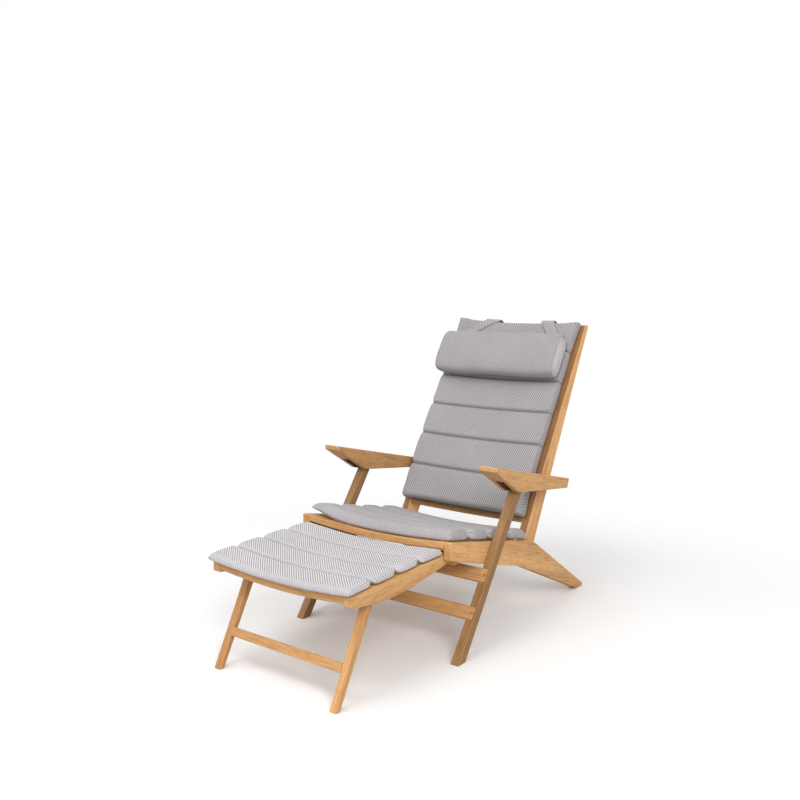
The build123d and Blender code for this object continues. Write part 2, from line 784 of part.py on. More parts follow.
def footrest_cushion():
    """Footrest pad in four panels, on the boards and rails."""
    length = (footrest_cushion_rear_y - footrest_cushion_front_y) / cos(radians(footrest_slope))
    pad = quilted_cushion(footrest_cushion_half_width, length, footrest_cushion_panels, footrest_cushion_crown,
                          footrest_cushion_channel, footrest_inner_face, footrest_dish, 0, length)
    front = Pos(0, footrest_cushion_front_y, footrest_top(footrest_cushion_front_y) + skin_gap)
    return front * Rot(footrest_slope, 0, 0) * pad


def footrest_leg_front(z):
    """Y of the footrest legs' front edge at a height."""
    return footrest_leg_foot_front_y + z * tan(radians(footrest_leg_front_lean))


def footrest_leg(side):
    """Leg that tapers towards its foot, round about the pivot at its top."""
    lean = radians(footrest_leg_front_lean)
    top_y = footrest_leg_pivot_y + footrest_leg_top_reach * sin(lean)
    top_z = footrest_leg_pivot_z + footrest_leg_top_reach * cos(lean)
    half = footrest_leg_top_depth / 2
    corners = [
        (footrest_leg_foot_front_y, 0, 0),
        (top_y - half * cos(lean), top_z + half * sin(lean), footrest_leg_top_round),
        (top_y + half * cos(lean), top_z - half * sin(lean), footrest_leg_top_round),
        (footrest_leg_foot_rear_y, 0, 0),
    ]
    leg = ease_sides(side_board(corners, footrest_leg_inner_face, footrest_leg_thickness), edge_round)
    low = footrest_leg_inner_face - overrun
    high = footrest_leg_outer_face + overrun
    leg -= along_x(footrest_bolt_radius + running_gap, low, high, footrest_leg_pivot_y, footrest_leg_pivot_z)
    return leg if side > 0 else mirror(leg, Plane.YZ)


def footrest_stretcher():
    """Bar between the footrest legs, flush with their front edges."""
    lean = radians(footrest_leg_front_lean)
    back_y = footrest_stretcher_thickness * cos(lean)
    back_z = footrest_stretcher_thickness * sin(lean)
    low = (footrest_leg_front(footrest_stretcher_bottom_z), footrest_stretcher_bottom_z)
    high = (footrest_leg_front(footrest_stretcher_top_z), footrest_stretcher_top_z)
    corners = [low + (0,), high + (0,)]
    corners += [(high[0] + back_y, high[1] - back_z, 0), (low[0] + back_y, low[1] - back_z, 0)]
    bar = side_board(corners, -footrest_leg_inner_face, 2 * footrest_leg_inner_face)
    return fillet(bar.edges().filter_by(Axis.X), slat_edge_round)


def footrest_leg_bolt(side):
    """Bolt from inside a footrest leg into its rail, with a collar between the two."""
    y = footrest_leg_pivot_y
    z = footrest_leg_pivot_z
    head = footrest_leg_inner_face - washer_gap
    bolt = along_x(footrest_bolt_radius, head, footrest_inner_face + bolt_blind_depth, y, z)
    bolt += along_x(bolt_head_radius, head - bolt_head_thickness, head, y, z)
    collar_low = footrest_leg_outer_face + washer_gap
    collar_high = footrest_inner_face
    bolt += along_x(bolt_head_radius, collar_low, collar_high, y, z)
    return bolt if side > 0 else mirror(bolt, Plane.YZ)


def build_parts():
    """Every piece under its name, still in the drawing's own frame."""
    parts = {
        "seat_front_rail": seat_front_rail(),
        "seat_rear_rail": seat_rear_rail(),
        "footrest_support_rail": footrest_support_rail(),
        "seat_cushion": seat_cushion(),
        "upper_stretcher": stretcher(upper_stretcher_low, upper_stretcher_height),
        "lower_stretcher": stretcher(lower_stretcher_low, lower_stretcher_height),
        "stretcher_plugs": stretcher_plugs(),
        "back_lower_rail": back_board(lower_rail_middle(), back_rail_length),
        "back_top_rail": back_board(top_rail_middle(), back_rail_length),
        "back_cushion": back_cushion(),
        "head_pillow": head_pillow(),
        "pillow_strap_left": pillow_strap(left_strap_low_x, left_strap_high_x),
        "pillow_strap_right": pillow_strap(right_strap_low_x, right_strap_high_x),
        "footrest_front_rail": footrest_front_rail(),
        "footrest_rear_rail": footrest_rear_rail(),
        "footrest_cushion": footrest_cushion(),
        "footrest_stretcher": footrest_stretcher(),
    }
    for number, slat in enumerate(seat_slats(), 1):
        parts[f"seat_slat_{number}"] = slat
    for number, slat in enumerate(back_slats(), 1):
        parts[f"back_slat_{number}"] = slat
    for number, slat in enumerate(footrest_slats(), 1):
        parts[f"footrest_slat_{number}"] = slat
    for name, side in (("left", 1), ("right", -1)):
        parts[f"side_plank_{name}"] = side_plank(side)
        parts[f"leg_pivot_bolt_{name}"] = leg_pivot_bolt(side)
        parts[f"front_leg_{name}"] = front_leg(side)
        parts[f"back_upright_{name}"] = back_upright(side)
        parts[f"back_pivot_bolt_{name}"] = back_pivot_bolt(side)
        parts[f"armrest_{name}"] = armrest(side)
        parts[f"arm_pivot_bolt_{name}"] = arm_pivot_bolt(side)
        parts[f"footrest_rail_{name}"] = footrest_rail(side)
        parts[f"footrest_leg_{name}"] = footrest_leg(side)
        parts[f"footrest_leg_bolt_{name}"] = footrest_leg_bolt(side)
    return {name: one_solid(shape) for name, shape in parts.items()}


def centred(parts):
    """The pieces moved so that the origin is under the middle of the whole chair, on the floor."""
    box = Compound(list(parts.values())).bounding_box()
    shift = Pos(-(box.min.X + box.max.X) / 2, -(box.min.Y + box.max.Y) / 2, -box.min.Z)
    return {name: shift * shape for name, shape in parts.items()}, shift


os.makedirs("parts", exist_ok=True)
pieces, origin_shift = centred(build_parts())
for piece_name, piece in pieces.items():
    export_step(piece, f"parts/{piece_name}.step")
print("pieces", len(pieces))
print("origin moved by", origin_shift.position)
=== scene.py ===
from dataclasses import dataclass
from math import asin, atan2, cos, exp, hypot, pi, radians, sin, sqrt, tan

import bmesh
import bpy
import numpy as np
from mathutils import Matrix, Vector, noise
from mathutils.bvhtree import BVHTree


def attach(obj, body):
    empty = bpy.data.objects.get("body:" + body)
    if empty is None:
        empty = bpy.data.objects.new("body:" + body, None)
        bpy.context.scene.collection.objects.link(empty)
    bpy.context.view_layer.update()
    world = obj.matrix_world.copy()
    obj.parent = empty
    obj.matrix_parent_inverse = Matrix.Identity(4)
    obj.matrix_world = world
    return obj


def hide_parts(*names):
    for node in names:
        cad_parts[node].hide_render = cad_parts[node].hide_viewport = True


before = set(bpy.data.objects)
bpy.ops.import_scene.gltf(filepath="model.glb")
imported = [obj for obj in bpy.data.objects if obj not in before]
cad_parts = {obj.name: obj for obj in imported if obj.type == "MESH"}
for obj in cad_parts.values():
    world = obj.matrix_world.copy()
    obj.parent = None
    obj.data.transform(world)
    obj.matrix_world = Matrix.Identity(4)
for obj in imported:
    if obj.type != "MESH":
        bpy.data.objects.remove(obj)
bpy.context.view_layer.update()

# Reclining wooden deck chair with a pull-out footrest, quilted cushions and a head pillow.
# Lengths are in metres. X runs across the chair, -Y is the way it faces, Z is up.

scene = bpy.context.scene


def tilt(start, end):
    """Angle over the level of a line in the side view."""
    return atan2(end[1] - start[1], end[0] - start[0])


# Places of the frame that the soft pieces lie on, as y and z in the side view. The drawing's y
# starts near the front of the side planks, and the shift takes it to the model's.
SHIFT = -0.242851
PLANK_TOP = (0.004 + SHIFT, 0.3452)
PLANK_BEND = (0.4697 + SHIFT, 0.2471)
SEAT_SLOPE = -tilt(PLANK_TOP, PLANK_BEND)
FOOTREST_FRONT = (-0.387 + SHIFT, 0.2945)
FOOTREST_REAR = (0.090 + SHIFT, 0.306)
FOOTREST_SLOPE = tilt(FOOTREST_FRONT, FOOTREST_REAR)
BACK_BEND = (0.601 + SHIFT, 0.480)
BACK_TOP = (0.882 + SHIFT, 0.922)
BACK_PIVOT = (0.479 + SHIFT, 0.200)
BACK_LEAN = tilt(BACK_BEND, BACK_TOP)
LEG_RAKE = radians(35.2)
FOOTREST_LEG_RAKE = radians(26.7)
ARM_TILT = radians(13.05)
UPRIGHT_FRONT = (0.0, -0.86, 0.51)  # the way the uprights' front faces look

# Groove under each armrest for the top of its front leg: middle and half size across the chair,
# then along it, and its roof's height at y = 0 and how steeply that falls to the rear
GROOVE_X, GROOVE_HALF_X = 0.29625, 0.01495
GROOVE_Y, GROOVE_HALF_Y = 0.0397, 0.0785
GROOVE_ROOF, GROOVE_FALL = 0.47894, 0.2318

# Boards that the cushions lie on: half width of their dish and its depth
SEAT_DISH = (0.2535, 0.013)
FOOTREST_DISH = (0.226, 0.012)
BACK_DISH = (0.225, 0.010)
OFF_WOOD = 0.0006  # keeps the cushions' undersides off the boards


# Node helpers

def new_material(name):
    """Empty material with its shader, ready for nodes."""
    material = bpy.data.materials.new(name)
    material.use_nodes = True
    tree = material.node_tree
    return material, tree, tree.nodes["Principled BSDF"]


def node(tree, kind, **values):
    """New node with its settings and plain input values."""
    made = tree.nodes.new(kind)
    for key, value in values.items():
        if hasattr(made, key):
            setattr(made, key, value)
        else:
            made.inputs[key.replace("_", " ")].default_value = value
    return made


def join(tree, start, end):
    tree.links.new(start, end)


def feed(tree, value, socket):
    """Give an input a number, a colour or another node's output."""
    if isinstance(value, (int, float)):
        socket.default_value = value
    elif isinstance(value, tuple):
        socket.default_value = (*value, 1)
    else:
        join(tree, value, socket)


def maths(tree, operation, *operands):
    """Math node's result; each operand is a socket or a number."""
    made = node(tree, "ShaderNodeMath", operation=operation)
    for place, value in enumerate(operands):
        feed(tree, value, made.inputs[place])
    return made.outputs[0]


def grey(value):
    return (value, value, value)


def halfway(first, second):
    return tuple((a + b) / 2 for a, b in zip(first, second))


def ramp(tree, source, stops):
    """Colour ramp; each stop is its place and its colour."""
    made = node(tree, "ShaderNodeValToRGB")
    elements = made.color_ramp.elements
    while len(elements) < len(stops):
        elements.new(0.5)
    for element, (place, colour) in zip(elements, stops):
        element.position = place
        element.color = (*colour, 1)
    join(tree, source, made.inputs[0])
    return made.outputs[0]


def mixed(tree, kind, share, first, second):
    """Colour mix; each of share, first and second is a socket or a plain value."""
    made = node(tree, "ShaderNodeMix", data_type="RGBA", blend_type=kind)
    for place, value in ((0, share), (6, first), (7, second)):
        feed(tree, value, made.inputs[place])
    return made.outputs[2]


def toned(tree, share, colour, pattern, stops):
    """Colour multiplied by the tone that a ramp gives a pattern."""
    return mixed(tree, "MULTIPLY", share, colour, ramp(tree, pattern, stops))


def parts_of(tree, place):
    """A place's three parts."""
    made = node(tree, "ShaderNodeSeparateXYZ")
    join(tree, place, made.inputs[0])
    return made.outputs


def stretched(tree, place, factors):
    """Place multiplied part by part, which draws a pattern out where a factor is small."""
    made = node(tree, "ShaderNodeVectorMath", operation="MULTIPLY")
    join(tree, place, made.inputs[0])
    made.inputs[1].default_value = factors
    return made.outputs[0]


def noise_on(tree, place, output="Fac", **values):
    made = node(tree, "ShaderNodeTexNoise", **values)
    join(tree, place, made.inputs["Vector"])
    return made.outputs[output]


def wandering(tree, place, amount, **values):
    """Place moved about by a slow noise, so that a pattern on it isn't ruled."""
    off = node(tree, "ShaderNodeVectorMath", operation="SCALE", Scale=amount)
    join(tree, noise_on(tree, place, "Color", **values), off.inputs[0])
    moved = node(tree, "ShaderNodeVectorMath", operation="ADD")
    join(tree, place, moved.inputs[0])
    join(tree, off.outputs[0], moved.inputs[1])
    return moved.outputs[0]


def bumped(tree, height, strength, distance, under=None):
    """Bumped normal, on top of another one where there is one."""
    made = node(tree, "ShaderNodeBump", Strength=strength, Distance=distance)
    join(tree, height, made.inputs["Height"])
    if under:
        join(tree, under, made.inputs["Normal"])
    return made.outputs[0]


def surface(tree, shader, colour, rough, normal):
    for value, name in ((colour, "Base Color"), (rough, "Roughness"), (normal, "Normal")):
        join(tree, value, shader.inputs[name])


# Wood

LIGHT_TEAK = (0.71, 0.415, 0.180)
DARK_TEAK = (0.48, 0.248, 0.094)
# Colour of the painted shade inside the grooves under the armrests
GROOVE_SHADE = (0.30, 0.25, 0.22)
# Colour of the painted shade on front faces beside the back cushion
CUSHION_SHADE = (0.34, 0.29, 0.25)

# Tones that multiply the wood's colour, from the low to the high end of each pattern
RING_TONES = [(0.0, (0.84, 0.79, 0.74)), (0.30, (0.96, 0.94, 0.92)), (1.0, (1.04, 1.03, 1.02))]
BLOTCH_TONES = [(0.34, (0.83, 0.78, 0.72)), (0.50, grey(1.0)), (0.70, (1.07, 1.06, 1.03))]
PORE_TONES = [(0.30, (0.62, 0.52, 0.43)), (0.42, grey(1.0))]
FIBRE_TONES = [(0.25, (0.86, 0.83, 0.80)), (0.75, (1.08, 1.07, 1.06))]
WORN_EDGE_AND_HOLLOW_SHADE_TONES = [(0.42, (0.90, 0.88, 0.86)), (0.50, grey(1.0)), (0.60, (1.10, 1.08, 1.05))]


def inside_groove(tree, place):
    """One inside the grooves under the armrests, where shade is painted into the wood; nought
    elsewhere.
    """
    x, y, z = parts_of(tree, place)

    def near(length, middle, reach):
        off = maths(tree, "ABSOLUTE", maths(tree, "SUBTRACT", length, middle))
        return maths(tree, "LESS_THAN", off, reach)

    on_x = near(maths(tree, "ABSOLUTE", x), GROOVE_X, GROOVE_HALF_X)
    on_y = near(y, GROOVE_Y, GROOVE_HALF_Y)
    height = maths(tree, "ADD", z, maths(tree, "MULTIPLY", y, GROOVE_FALL))
    under_roof = maths(tree, "LESS_THAN", height, GROOVE_ROOF)
    return maths(tree, "MULTIPLY", maths(tree, "MULTIPLY", on_x, on_y), under_roof)


def in_cushion_shade(tree, shape):
    """One on faces that look as the uprights' fronts do, where shade from the back cushion is
    painted.
    """
    facing = node(tree, "ShaderNodeVectorMath", operation="DOT_PRODUCT")
    join(tree, shape.outputs["True Normal"], facing.inputs[0])
    facing.inputs[1].default_value = UPRIGHT_FRONT
    return ramp(tree, facing.outputs["Value"], [(0.90, grey(0.0)), (0.97, grey(1.0))])


def wood(name, rotation, seed, light=LIGHT_TEAK, dark=DARK_TEAK, tint=1.0, groove_shaded=False,
         cushion_shaded=False):
    """Oiled teak. The grain runs along X, and the rotation lays it along the board."""
    material, tree, shader = new_material(name)
    place = node(tree, "ShaderNodeTexCoord").outputs["Object"]
    # The seed moves the pattern, so that no two kinds of board look alike
    turn = node(tree, "ShaderNodeMapping", vector_type="TEXTURE", Rotation=rotation,
                Location=(seed * 0.37, seed * 0.113, seed * 0.071))
    join(tree, place, turn.inputs["Vector"])
    board = turn.outputs[0]
    long_grain = stretched(tree, board, (0.055, 1.0, 1.0))
    fine_grain = stretched(tree, board, (0.02, 1.0, 1.0))
    short_grain = stretched(tree, board, (0.28, 1.0, 1.0))
    # Slow colour drift, growth rings, fine fibres and pores, and blotches of oil
    drift = noise_on(tree, long_grain, Scale=16.0, Detail=3.0, Roughness=0.5)
    rings = node(tree, "ShaderNodeTexWave", wave_type="BANDS", bands_direction="DIAGONAL",
                 Scale=47.0, Distortion=4.5, Detail=3.0, Detail_Scale=1.4)
    rings_place = wandering(tree, long_grain, 0.075, Scale=9.0, Detail=2.0, Roughness=0.45)
    join(tree, rings_place, rings.inputs["Vector"])
    fibres = noise_on(tree, fine_grain, Scale=900.0, Detail=4.0, Roughness=0.65)
    pores = noise_on(tree, fine_grain, Scale=420.0, Detail=2.0, Roughness=0.5)
    blotch = noise_on(tree, short_grain, Scale=85.0, Detail=5.0, Roughness=0.65)

    colour = ramp(tree, drift, [(0.28, dark), (0.5, halfway(light, dark)), (0.72, light)])
    colour = toned(tree, 0.5, colour, rings.outputs["Fac"], RING_TONES)
    colour = toned(tree, 0.85, colour, blotch, BLOTCH_TONES)
    colour = toned(tree, 0.85, colour, pores, PORE_TONES)
    # Painted shade: the wood inside the armrests' grooves is darkened as a recess in shade
    if groove_shaded:
        raw = maths(tree, "MULTIPLY", inside_groove(tree, place), 0.92)
        colour = mixed(tree, "MULTIPLY", raw, colour, GROOVE_SHADE)
    colour = toned(tree, 0.6, colour, fibres, FIBRE_TONES)
    # Edges are a little paler where the oil has worn; hollows are a little darker, as painted
    # shade
    shape = node(tree, "ShaderNodeNewGeometry")
    colour = toned(tree, 0.8, colour, shape.outputs["Pointiness"], WORN_EDGE_AND_HOLLOW_SHADE_TONES)
    # Painted shade on the uprights' and the low rail's front faces beside the back cushion
    if cushion_shaded:
        cushion_shade = maths(tree, "MULTIPLY", in_cushion_shade(tree, shape), 0.9)
        colour = mixed(tree, "MULTIPLY", cushion_shade, colour, CUSHION_SHADE)
    colour = mixed(tree, "MULTIPLY", 1.0, colour, grey(tint))
    shader.inputs["Specular IOR Level"].default_value = 0.32
    height = maths(tree, "ADD", maths(tree, "MULTIPLY", fibres, 0.5),
                   maths(tree, "MULTIPLY", pores, 0.6))
    surface(tree, shader, colour, maths(tree, "MULTIPLY_ADD", fibres, 0.22, 0.42),
            bumped(tree, height, 0.28, 0.0005))
    return material


def grain_along(y, z):
    """Rotation for grain along a direction in the side view."""
    return Vector((0.0, y, z)).normalized().to_track_quat("X", "Z").to_euler()


ACROSS = (0.0, 0.0, 0.0)  # the rotation for grain across the chair
PLANK_GRAIN = 1.35        # how much steeper than the seat the side planks' grain falls
woods = {
    "plank": wood("teak_plank", grain_along(cos(SEAT_SLOPE), -sin(SEAT_SLOPE) * PLANK_GRAIN), 1.3),
    "upright": wood("teak_upright", grain_along(cos(BACK_LEAN), sin(BACK_LEAN)), 2.1, tint=1.2,
                    cushion_shaded=True),
    # The legs' low tint is painted shade: their wood is darkened to the tone of their shaded faces
    "leg": wood("teak_leg", grain_along(sin(LEG_RAKE), cos(LEG_RAKE)), 3.7, tint=0.55),
    "arm": wood("teak_arm", grain_along(cos(ARM_TILT), -sin(ARM_TILT)), 4.2, tint=0.90,
                groove_shaded=True),
    "rail": wood("teak_rail", grain_along(cos(FOOTREST_SLOPE), sin(FOOTREST_SLOPE)), 5.9,
                 tint=1.04),
    "footleg": wood("teak_footrest_leg",
                    grain_along(sin(FOOTREST_LEG_RAKE), cos(FOOTREST_LEG_RAKE)), 6.4),
    "slat_a": wood("teak_board_a", ACROSS, 7.7),
    "slat_b": wood("teak_board_b", ACROSS, 11.2, tuple(c * 0.93 for c in LIGHT_TEAK),
                   tuple(c * 0.9 for c in DARK_TEAK)),
    "slat_c": wood("teak_board_c", ACROSS, 17.9, tuple(c * 1.05 for c in LIGHT_TEAK)),
    "low_rail": wood("teak_low_rail", ACROSS, 29.4, cushion_shaded=True),
    "stretcher": wood("teak_stretcher", ACROSS, 23.1, tint=0.96),
}


def plug_wood():
    """End grain of the small plugs: short pores instead of long streaks, a little darker."""
    material, tree, shader = new_material("plug_end_grain")
    place = node(tree, "ShaderNodeTexCoord").outputs["Object"]
    pores = node(tree, "ShaderNodeTexVoronoi", Scale=1500.0)
    join(tree, place, pores.inputs["Vector"])
    pores = pores.outputs["Distance"]
    drift = noise_on(tree, place, Scale=240.0, Detail=3.0)
    colour = ramp(tree, drift, [(0.3, (0.26, 0.125, 0.05)), (0.7, (0.38, 0.20, 0.088))])
    colour = toned(tree, 0.7, colour, pores, [(0.0, (0.5, 0.45, 0.4)), (0.35, grey(1.0))])
    surface(tree, shader, colour, maths(tree, "MULTIPLY_ADD", drift, 0.2, 0.5),
            bumped(tree, pores, 0.3, 0.0003))
    return material


def brushed_steel():
    """Stainless bolts: fine turned lines and slight smudges."""
    material, tree, shader = new_material("stainless_bolt")
    place = node(tree, "ShaderNodeTexCoord").outputs["Object"]
    lines = noise_on(tree, stretched(tree, place, (4.0, 0.6, 0.6)), Scale=700.0, Detail=2.0)
    smudge = noise_on(tree, place, Scale=90.0, Detail=3.0)
    colour = ramp(tree, smudge, [(0.3, (0.46, 0.46, 0.45)), (0.7, (0.62, 0.62, 0.60))])
    shader.inputs["Metallic"].default_value = 1.0
    surface(tree, shader, colour, maths(tree, "MULTIPLY_ADD", lines, 0.2, 0.22),
            bumped(tree, lines, 0.15, 0.0002))
    return material


# Look of a CAD node: the first line whose words are in its name counts
LOOKS = (
    ("stretcher_plugs", plug_wood()),
    ("bolt", brushed_steel()),
    ("side_plank", woods["plank"]),
    ("front_leg", woods["leg"]),
    ("back_lower_rail", woods["low_rail"]),
    ("back_upright", woods["upright"]),
    ("armrest", woods["arm"]),
    ("footrest_rail_", woods["rail"]),
    ("footrest_leg", woods["footleg"]),
    ("stretcher", woods["stretcher"]),
)
SLAT_LOOKS = (woods["slat_a"], woods["slat_b"], woods["slat_c"])


def look_for(name):
    """Material of a CAD node; the boards take turns, by the letters of their names."""
    for words, look in LOOKS:
        if words in name:
            return look
    pick = sum(ord(letter) * (place + 3) for place, letter in enumerate(name))
    return SLAT_LOOKS[pick % len(SLAT_LOOKS)]


SOFT = ("seat_cushion", "back_cushion", "footrest_cushion", "head_pillow", "pillow_strap_left",
        "pillow_strap_right")
for name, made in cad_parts.items():
    if name not in SOFT:
        made.data.materials.clear()
        made.data.materials.append(look_for(name))


# Woven cloth

# Colour of the painted shade and darker thread in the sewn lines
SEAM_SHADE_AND_THREAD = (0.34, 0.33, 0.335)


def cloth(name, pale, dark, thread=0.0021, contrast=1.0):
    """Two-tone woven cloth. The weave follows the flat cloth through the UV map, in metres."""
    material, tree, shader = new_material(name)
    flat = node(tree, "ShaderNodeUVMap", uv_map="weave").outputs[0]
    u, v, _ = parts_of(tree, wandering(tree, flat, 0.0022, Scale=28.0, Detail=2.0))

    def wave(length, turns):
        return maths(tree, "SINE", maths(tree, "MULTIPLY", length, turns))

    # Twill: the crossing moves one thread over in every row
    turns = 2 * pi / (thread * 2)
    crossing = maths(tree, "MULTIPLY", wave(u, turns), wave(v, turns))
    twill = wave(maths(tree, "ADD", u, v), turns / 2)
    twill_other = wave(maths(tree, "SUBTRACT", u, v), turns / 2)
    over = maths(tree, "ADD", maths(tree, "MULTIPLY", twill, 0.62),
                 maths(tree, "MULTIPLY", twill_other, 0.25))
    over = maths(tree, "ADD", over, maths(tree, "MULTIPLY", crossing, 0.35))
    over = maths(tree, "MULTIPLY_ADD", over, 0.5, 0.5)
    fuzz = maths(tree, "SUBTRACT", noise_on(tree, flat, Scale=1400.0, Detail=2.0), 0.5)
    over_fuzzed = maths(tree, "ADD", over, maths(tree, "MULTIPLY", fuzz, 0.5))
    middle = halfway(pale, dark)
    low, high = (tuple(m + (c - m) * contrast for m, c in zip(middle, end))
                 for end in (dark, pale))
    colour = ramp(tree, over_fuzzed, [(0.30, low), (0.46, middle), (0.66, high)])
    # Uneven dye, slubs, edges a little paler with wear, and creases darker as painted shade
    cloud = noise_on(tree, flat, Scale=6.5, Detail=4.0, Roughness=0.55)
    colour = toned(tree, 1.0, colour, cloud, [(0.3, grey(0.94)), (0.7, grey(1.04))])
    slub = noise_on(tree, stretched(tree, flat, (1.0, 14.0, 1.0)), Scale=45.0, Detail=2.0)
    colour = toned(tree, 1.0, colour, slub, [(0.34, grey(0.93)), (0.55, grey(1.02))])
    shape = node(tree, "ShaderNodeNewGeometry")
    colour = toned(tree, 0.85, colour, shape.outputs["Pointiness"],
                   [(0.40, grey(0.80)), (0.49, grey(1.0)), (0.60, grey(1.03))])
    # Darker thread and painted shade in the sewn lines
    shaded_seam = node(tree, "ShaderNodeAttribute", attribute_name="seam")
    colour = mixed(tree, "MULTIPLY", maths(tree, "MULTIPLY", shaded_seam.outputs["Fac"], 0.65), colour,
                   SEAM_SHADE_AND_THREAD)
    shader.inputs["Specular IOR Level"].default_value = 0.18
    shader.inputs["Sheen Weight"].default_value = 0.12
    shader.inputs["Sheen Roughness"].default_value = 0.5
    threads = bumped(tree, over_fuzzed, 0.55, 0.0006)
    wrinkle = noise_on(tree, flat, Scale=22.0, Detail=3.0, Roughness=0.5)
    surface(tree, shader, colour, maths(tree, "MULTIPLY_ADD", over, -0.12, 0.92),
            bumped(tree, wrinkle, 0.35, 0.004, threads))
    return material


SEAT_CLOTH = cloth("cloth_seat", (0.60, 0.578, 0.582), (0.185, 0.174, 0.179))
BACK_CLOTH = cloth("cloth_back", (0.475, 0.452, 0.46), (0.205, 0.193, 0.20))
FOOT_CLOTH = cloth("cloth_footrest", (0.75, 0.72, 0.735), (0.27, 0.256, 0.265))
PILLOW_CLOTH = cloth("cloth_pillow", (0.48, 0.456, 0.464), (0.205, 0.193, 0.20))
# Painted light: the end panels get a paler copy of the pillow's cloth
PILLOW_END_LIT_CLOTH = cloth("cloth_pillow_end", (0.66, 0.632, 0.64), (0.35, 0.334, 0.34), contrast=0.9)
STRAP_CLOTH = cloth("cloth_strap", (0.50, 0.478, 0.482), (0.24, 0.228, 0.232), thread=0.0016)
SEAM_THREAD = cloth("cloth_piping", (0.47, 0.45, 0.455), (0.27, 0.258, 0.264), thread=0.0012)


# Mesh helpers

def smooth(value):
    value = min(1.0, max(0.0, value))
    return value * value * (3 - 2 * value)


def lumps(x, y, z):
    """Smooth noise, from about -1 to 1."""
    return noise.noise(Vector((x, y, z)))


def object_from(name, points, faces, material):
    """Smooth-shaded mesh object from points and faces."""
    mesh = bpy.data.meshes.new(name)
    mesh.from_pydata(points, [], faces)
    mesh.validate()
    mesh.materials.append(material)
    for polygon in mesh.polygons:
        polygon.use_smooth = True
    made = bpy.data.objects.new(name, mesh)
    scene.collection.objects.link(made)
    return made


def seam_shade_marks(made, values):
    """How near each point is to a sewn line, one at the stitches; the cloth is darkened by it, as
    painted shade with darker thread.
    """
    layer = made.data.attributes.new("seam", "FLOAT", "POINT")
    layer.data.foreach_set("value", values)


def weave_map(made, flat):
    """UV map in metres from flat places: u and v, each with w added so that sides keep threads."""
    layer = made.data.uv_layers.new(name="weave")
    values = [(u + w, v + w) for u, v, w in (flat[loop.vertex_index] for loop in made.data.loops)]
    layer.data.foreach_set("uv", np.array(values).reshape(-1))


def face_outward(made):
    """Turn all faces of a closed mesh outward."""
    fixer = bmesh.new()
    fixer.from_mesh(made.data)
    bmesh.ops.recalc_face_normals(fixer, faces=fixer.faces)
    fixer.to_mesh(made.data)
    fixer.free()


def subdivide(made):
    """Round a mesh off by one level of subdivision."""
    modifier = made.modifiers.new("smooth", "SUBSURF")
    modifier.levels = 1
    modifier.render_levels = 1


def points_of(mesh):
    """A mesh's points as rows of three."""
    values = np.empty(len(mesh.vertices) * 3)
    mesh.vertices.foreach_get("co", values)
    return values.reshape(-1, 3)


def set_points(mesh, values):
    mesh.vertices.foreach_set("co", np.array(values).reshape(-1))
    mesh.update()


def plump(made, cap, pressure, frames, floor_at=None):
    """Blow a closed cloth mesh up from inside, with no gravity, and keep each point near its start
    and over a floor if there is one."""
    modifier = made.modifiers.new("cloth", "CLOTH")
    settings = modifier.settings
    settings.quality = 5
    settings.mass = 0.25
    settings.tension_stiffness = 12
    settings.compression_stiffness = 8
    settings.shear_stiffness = 6
    settings.bending_stiffness = 0.6
    settings.use_pressure = True
    settings.uniform_pressure_force = pressure
    settings.effector_weights.gravity = 0
    modifier.collision_settings.use_collision = False
    modifier.collision_settings.use_self_collision = False
    modifier.point_cache.frame_start = 1
    modifier.point_cache.frame_end = frames
    for number in range(1, frames + 1):
        scene.frame_set(number)
    blown = made.evaluated_get(bpy.context.evaluated_depsgraph_get())
    end = points_of(blown.to_mesh())
    blown.to_mesh_clear()
    made.modifiers.remove(modifier)
    scene.frame_set(1)
    start = points_of(made.data)
    move = end - start
    size = np.linalg.norm(move, axis=1)
    share = np.where(size > cap, cap / np.maximum(size, 1e-9), 1.0)
    result = start + move * share[:, None]
    if floor_at is not None:
        result[:, 2] = np.maximum(result[:, 2], floor_at)
    set_points(made.data, result)


# Cushions. Each is made flat first: u across the chair, v along the cushion and w its thickness,
# then laid on its dished boards.

EDGE_STEPS = 5          # columns of faces on each rounded side
CROWDING = 0.7          # how much rows of faces crowd together at the seams
UNDER_ROUNDING = 2.4    # the underside's rounding at the sides, as a multiple of the upper one's
UNDER_END = 2.2         # the same at the ends
SIDE_SEAM = 0.40        # height of the seam round the sides, as a share of a channel's thickness
SEAM_LIFT = 0.38        # what a nip adds to that
PULL_LENGTH = 0.12      # share of a panel's length along which a channel draws the sides in
NIP_LENGTH = 0.13       # the same for the nips at a channel's ends
NIP_DEPTH = 0.026       # how far in from the side a nip reaches
FULL_NIP = 0.009        # draw_in from which a nip is full
PUCKER = 0.0011         # height of the puckers at a channel
PUCKER_LENGTH = 0.016   # how far from the channel they reach
STITCH_LENGTH = 0.0035  # how far from the channel its furrow reaches
FLAP_SIZE = (0.085, 0.075)  # how far the curled corner reaches across and along
FLATTENED = 0.45        # share of its thickness that it loses
HOLD = 0.010            # how far from a channel its stitches hold the plumped cloth
SHADE_LENGTH = 0.0032   # how far from a channel its shading reaches


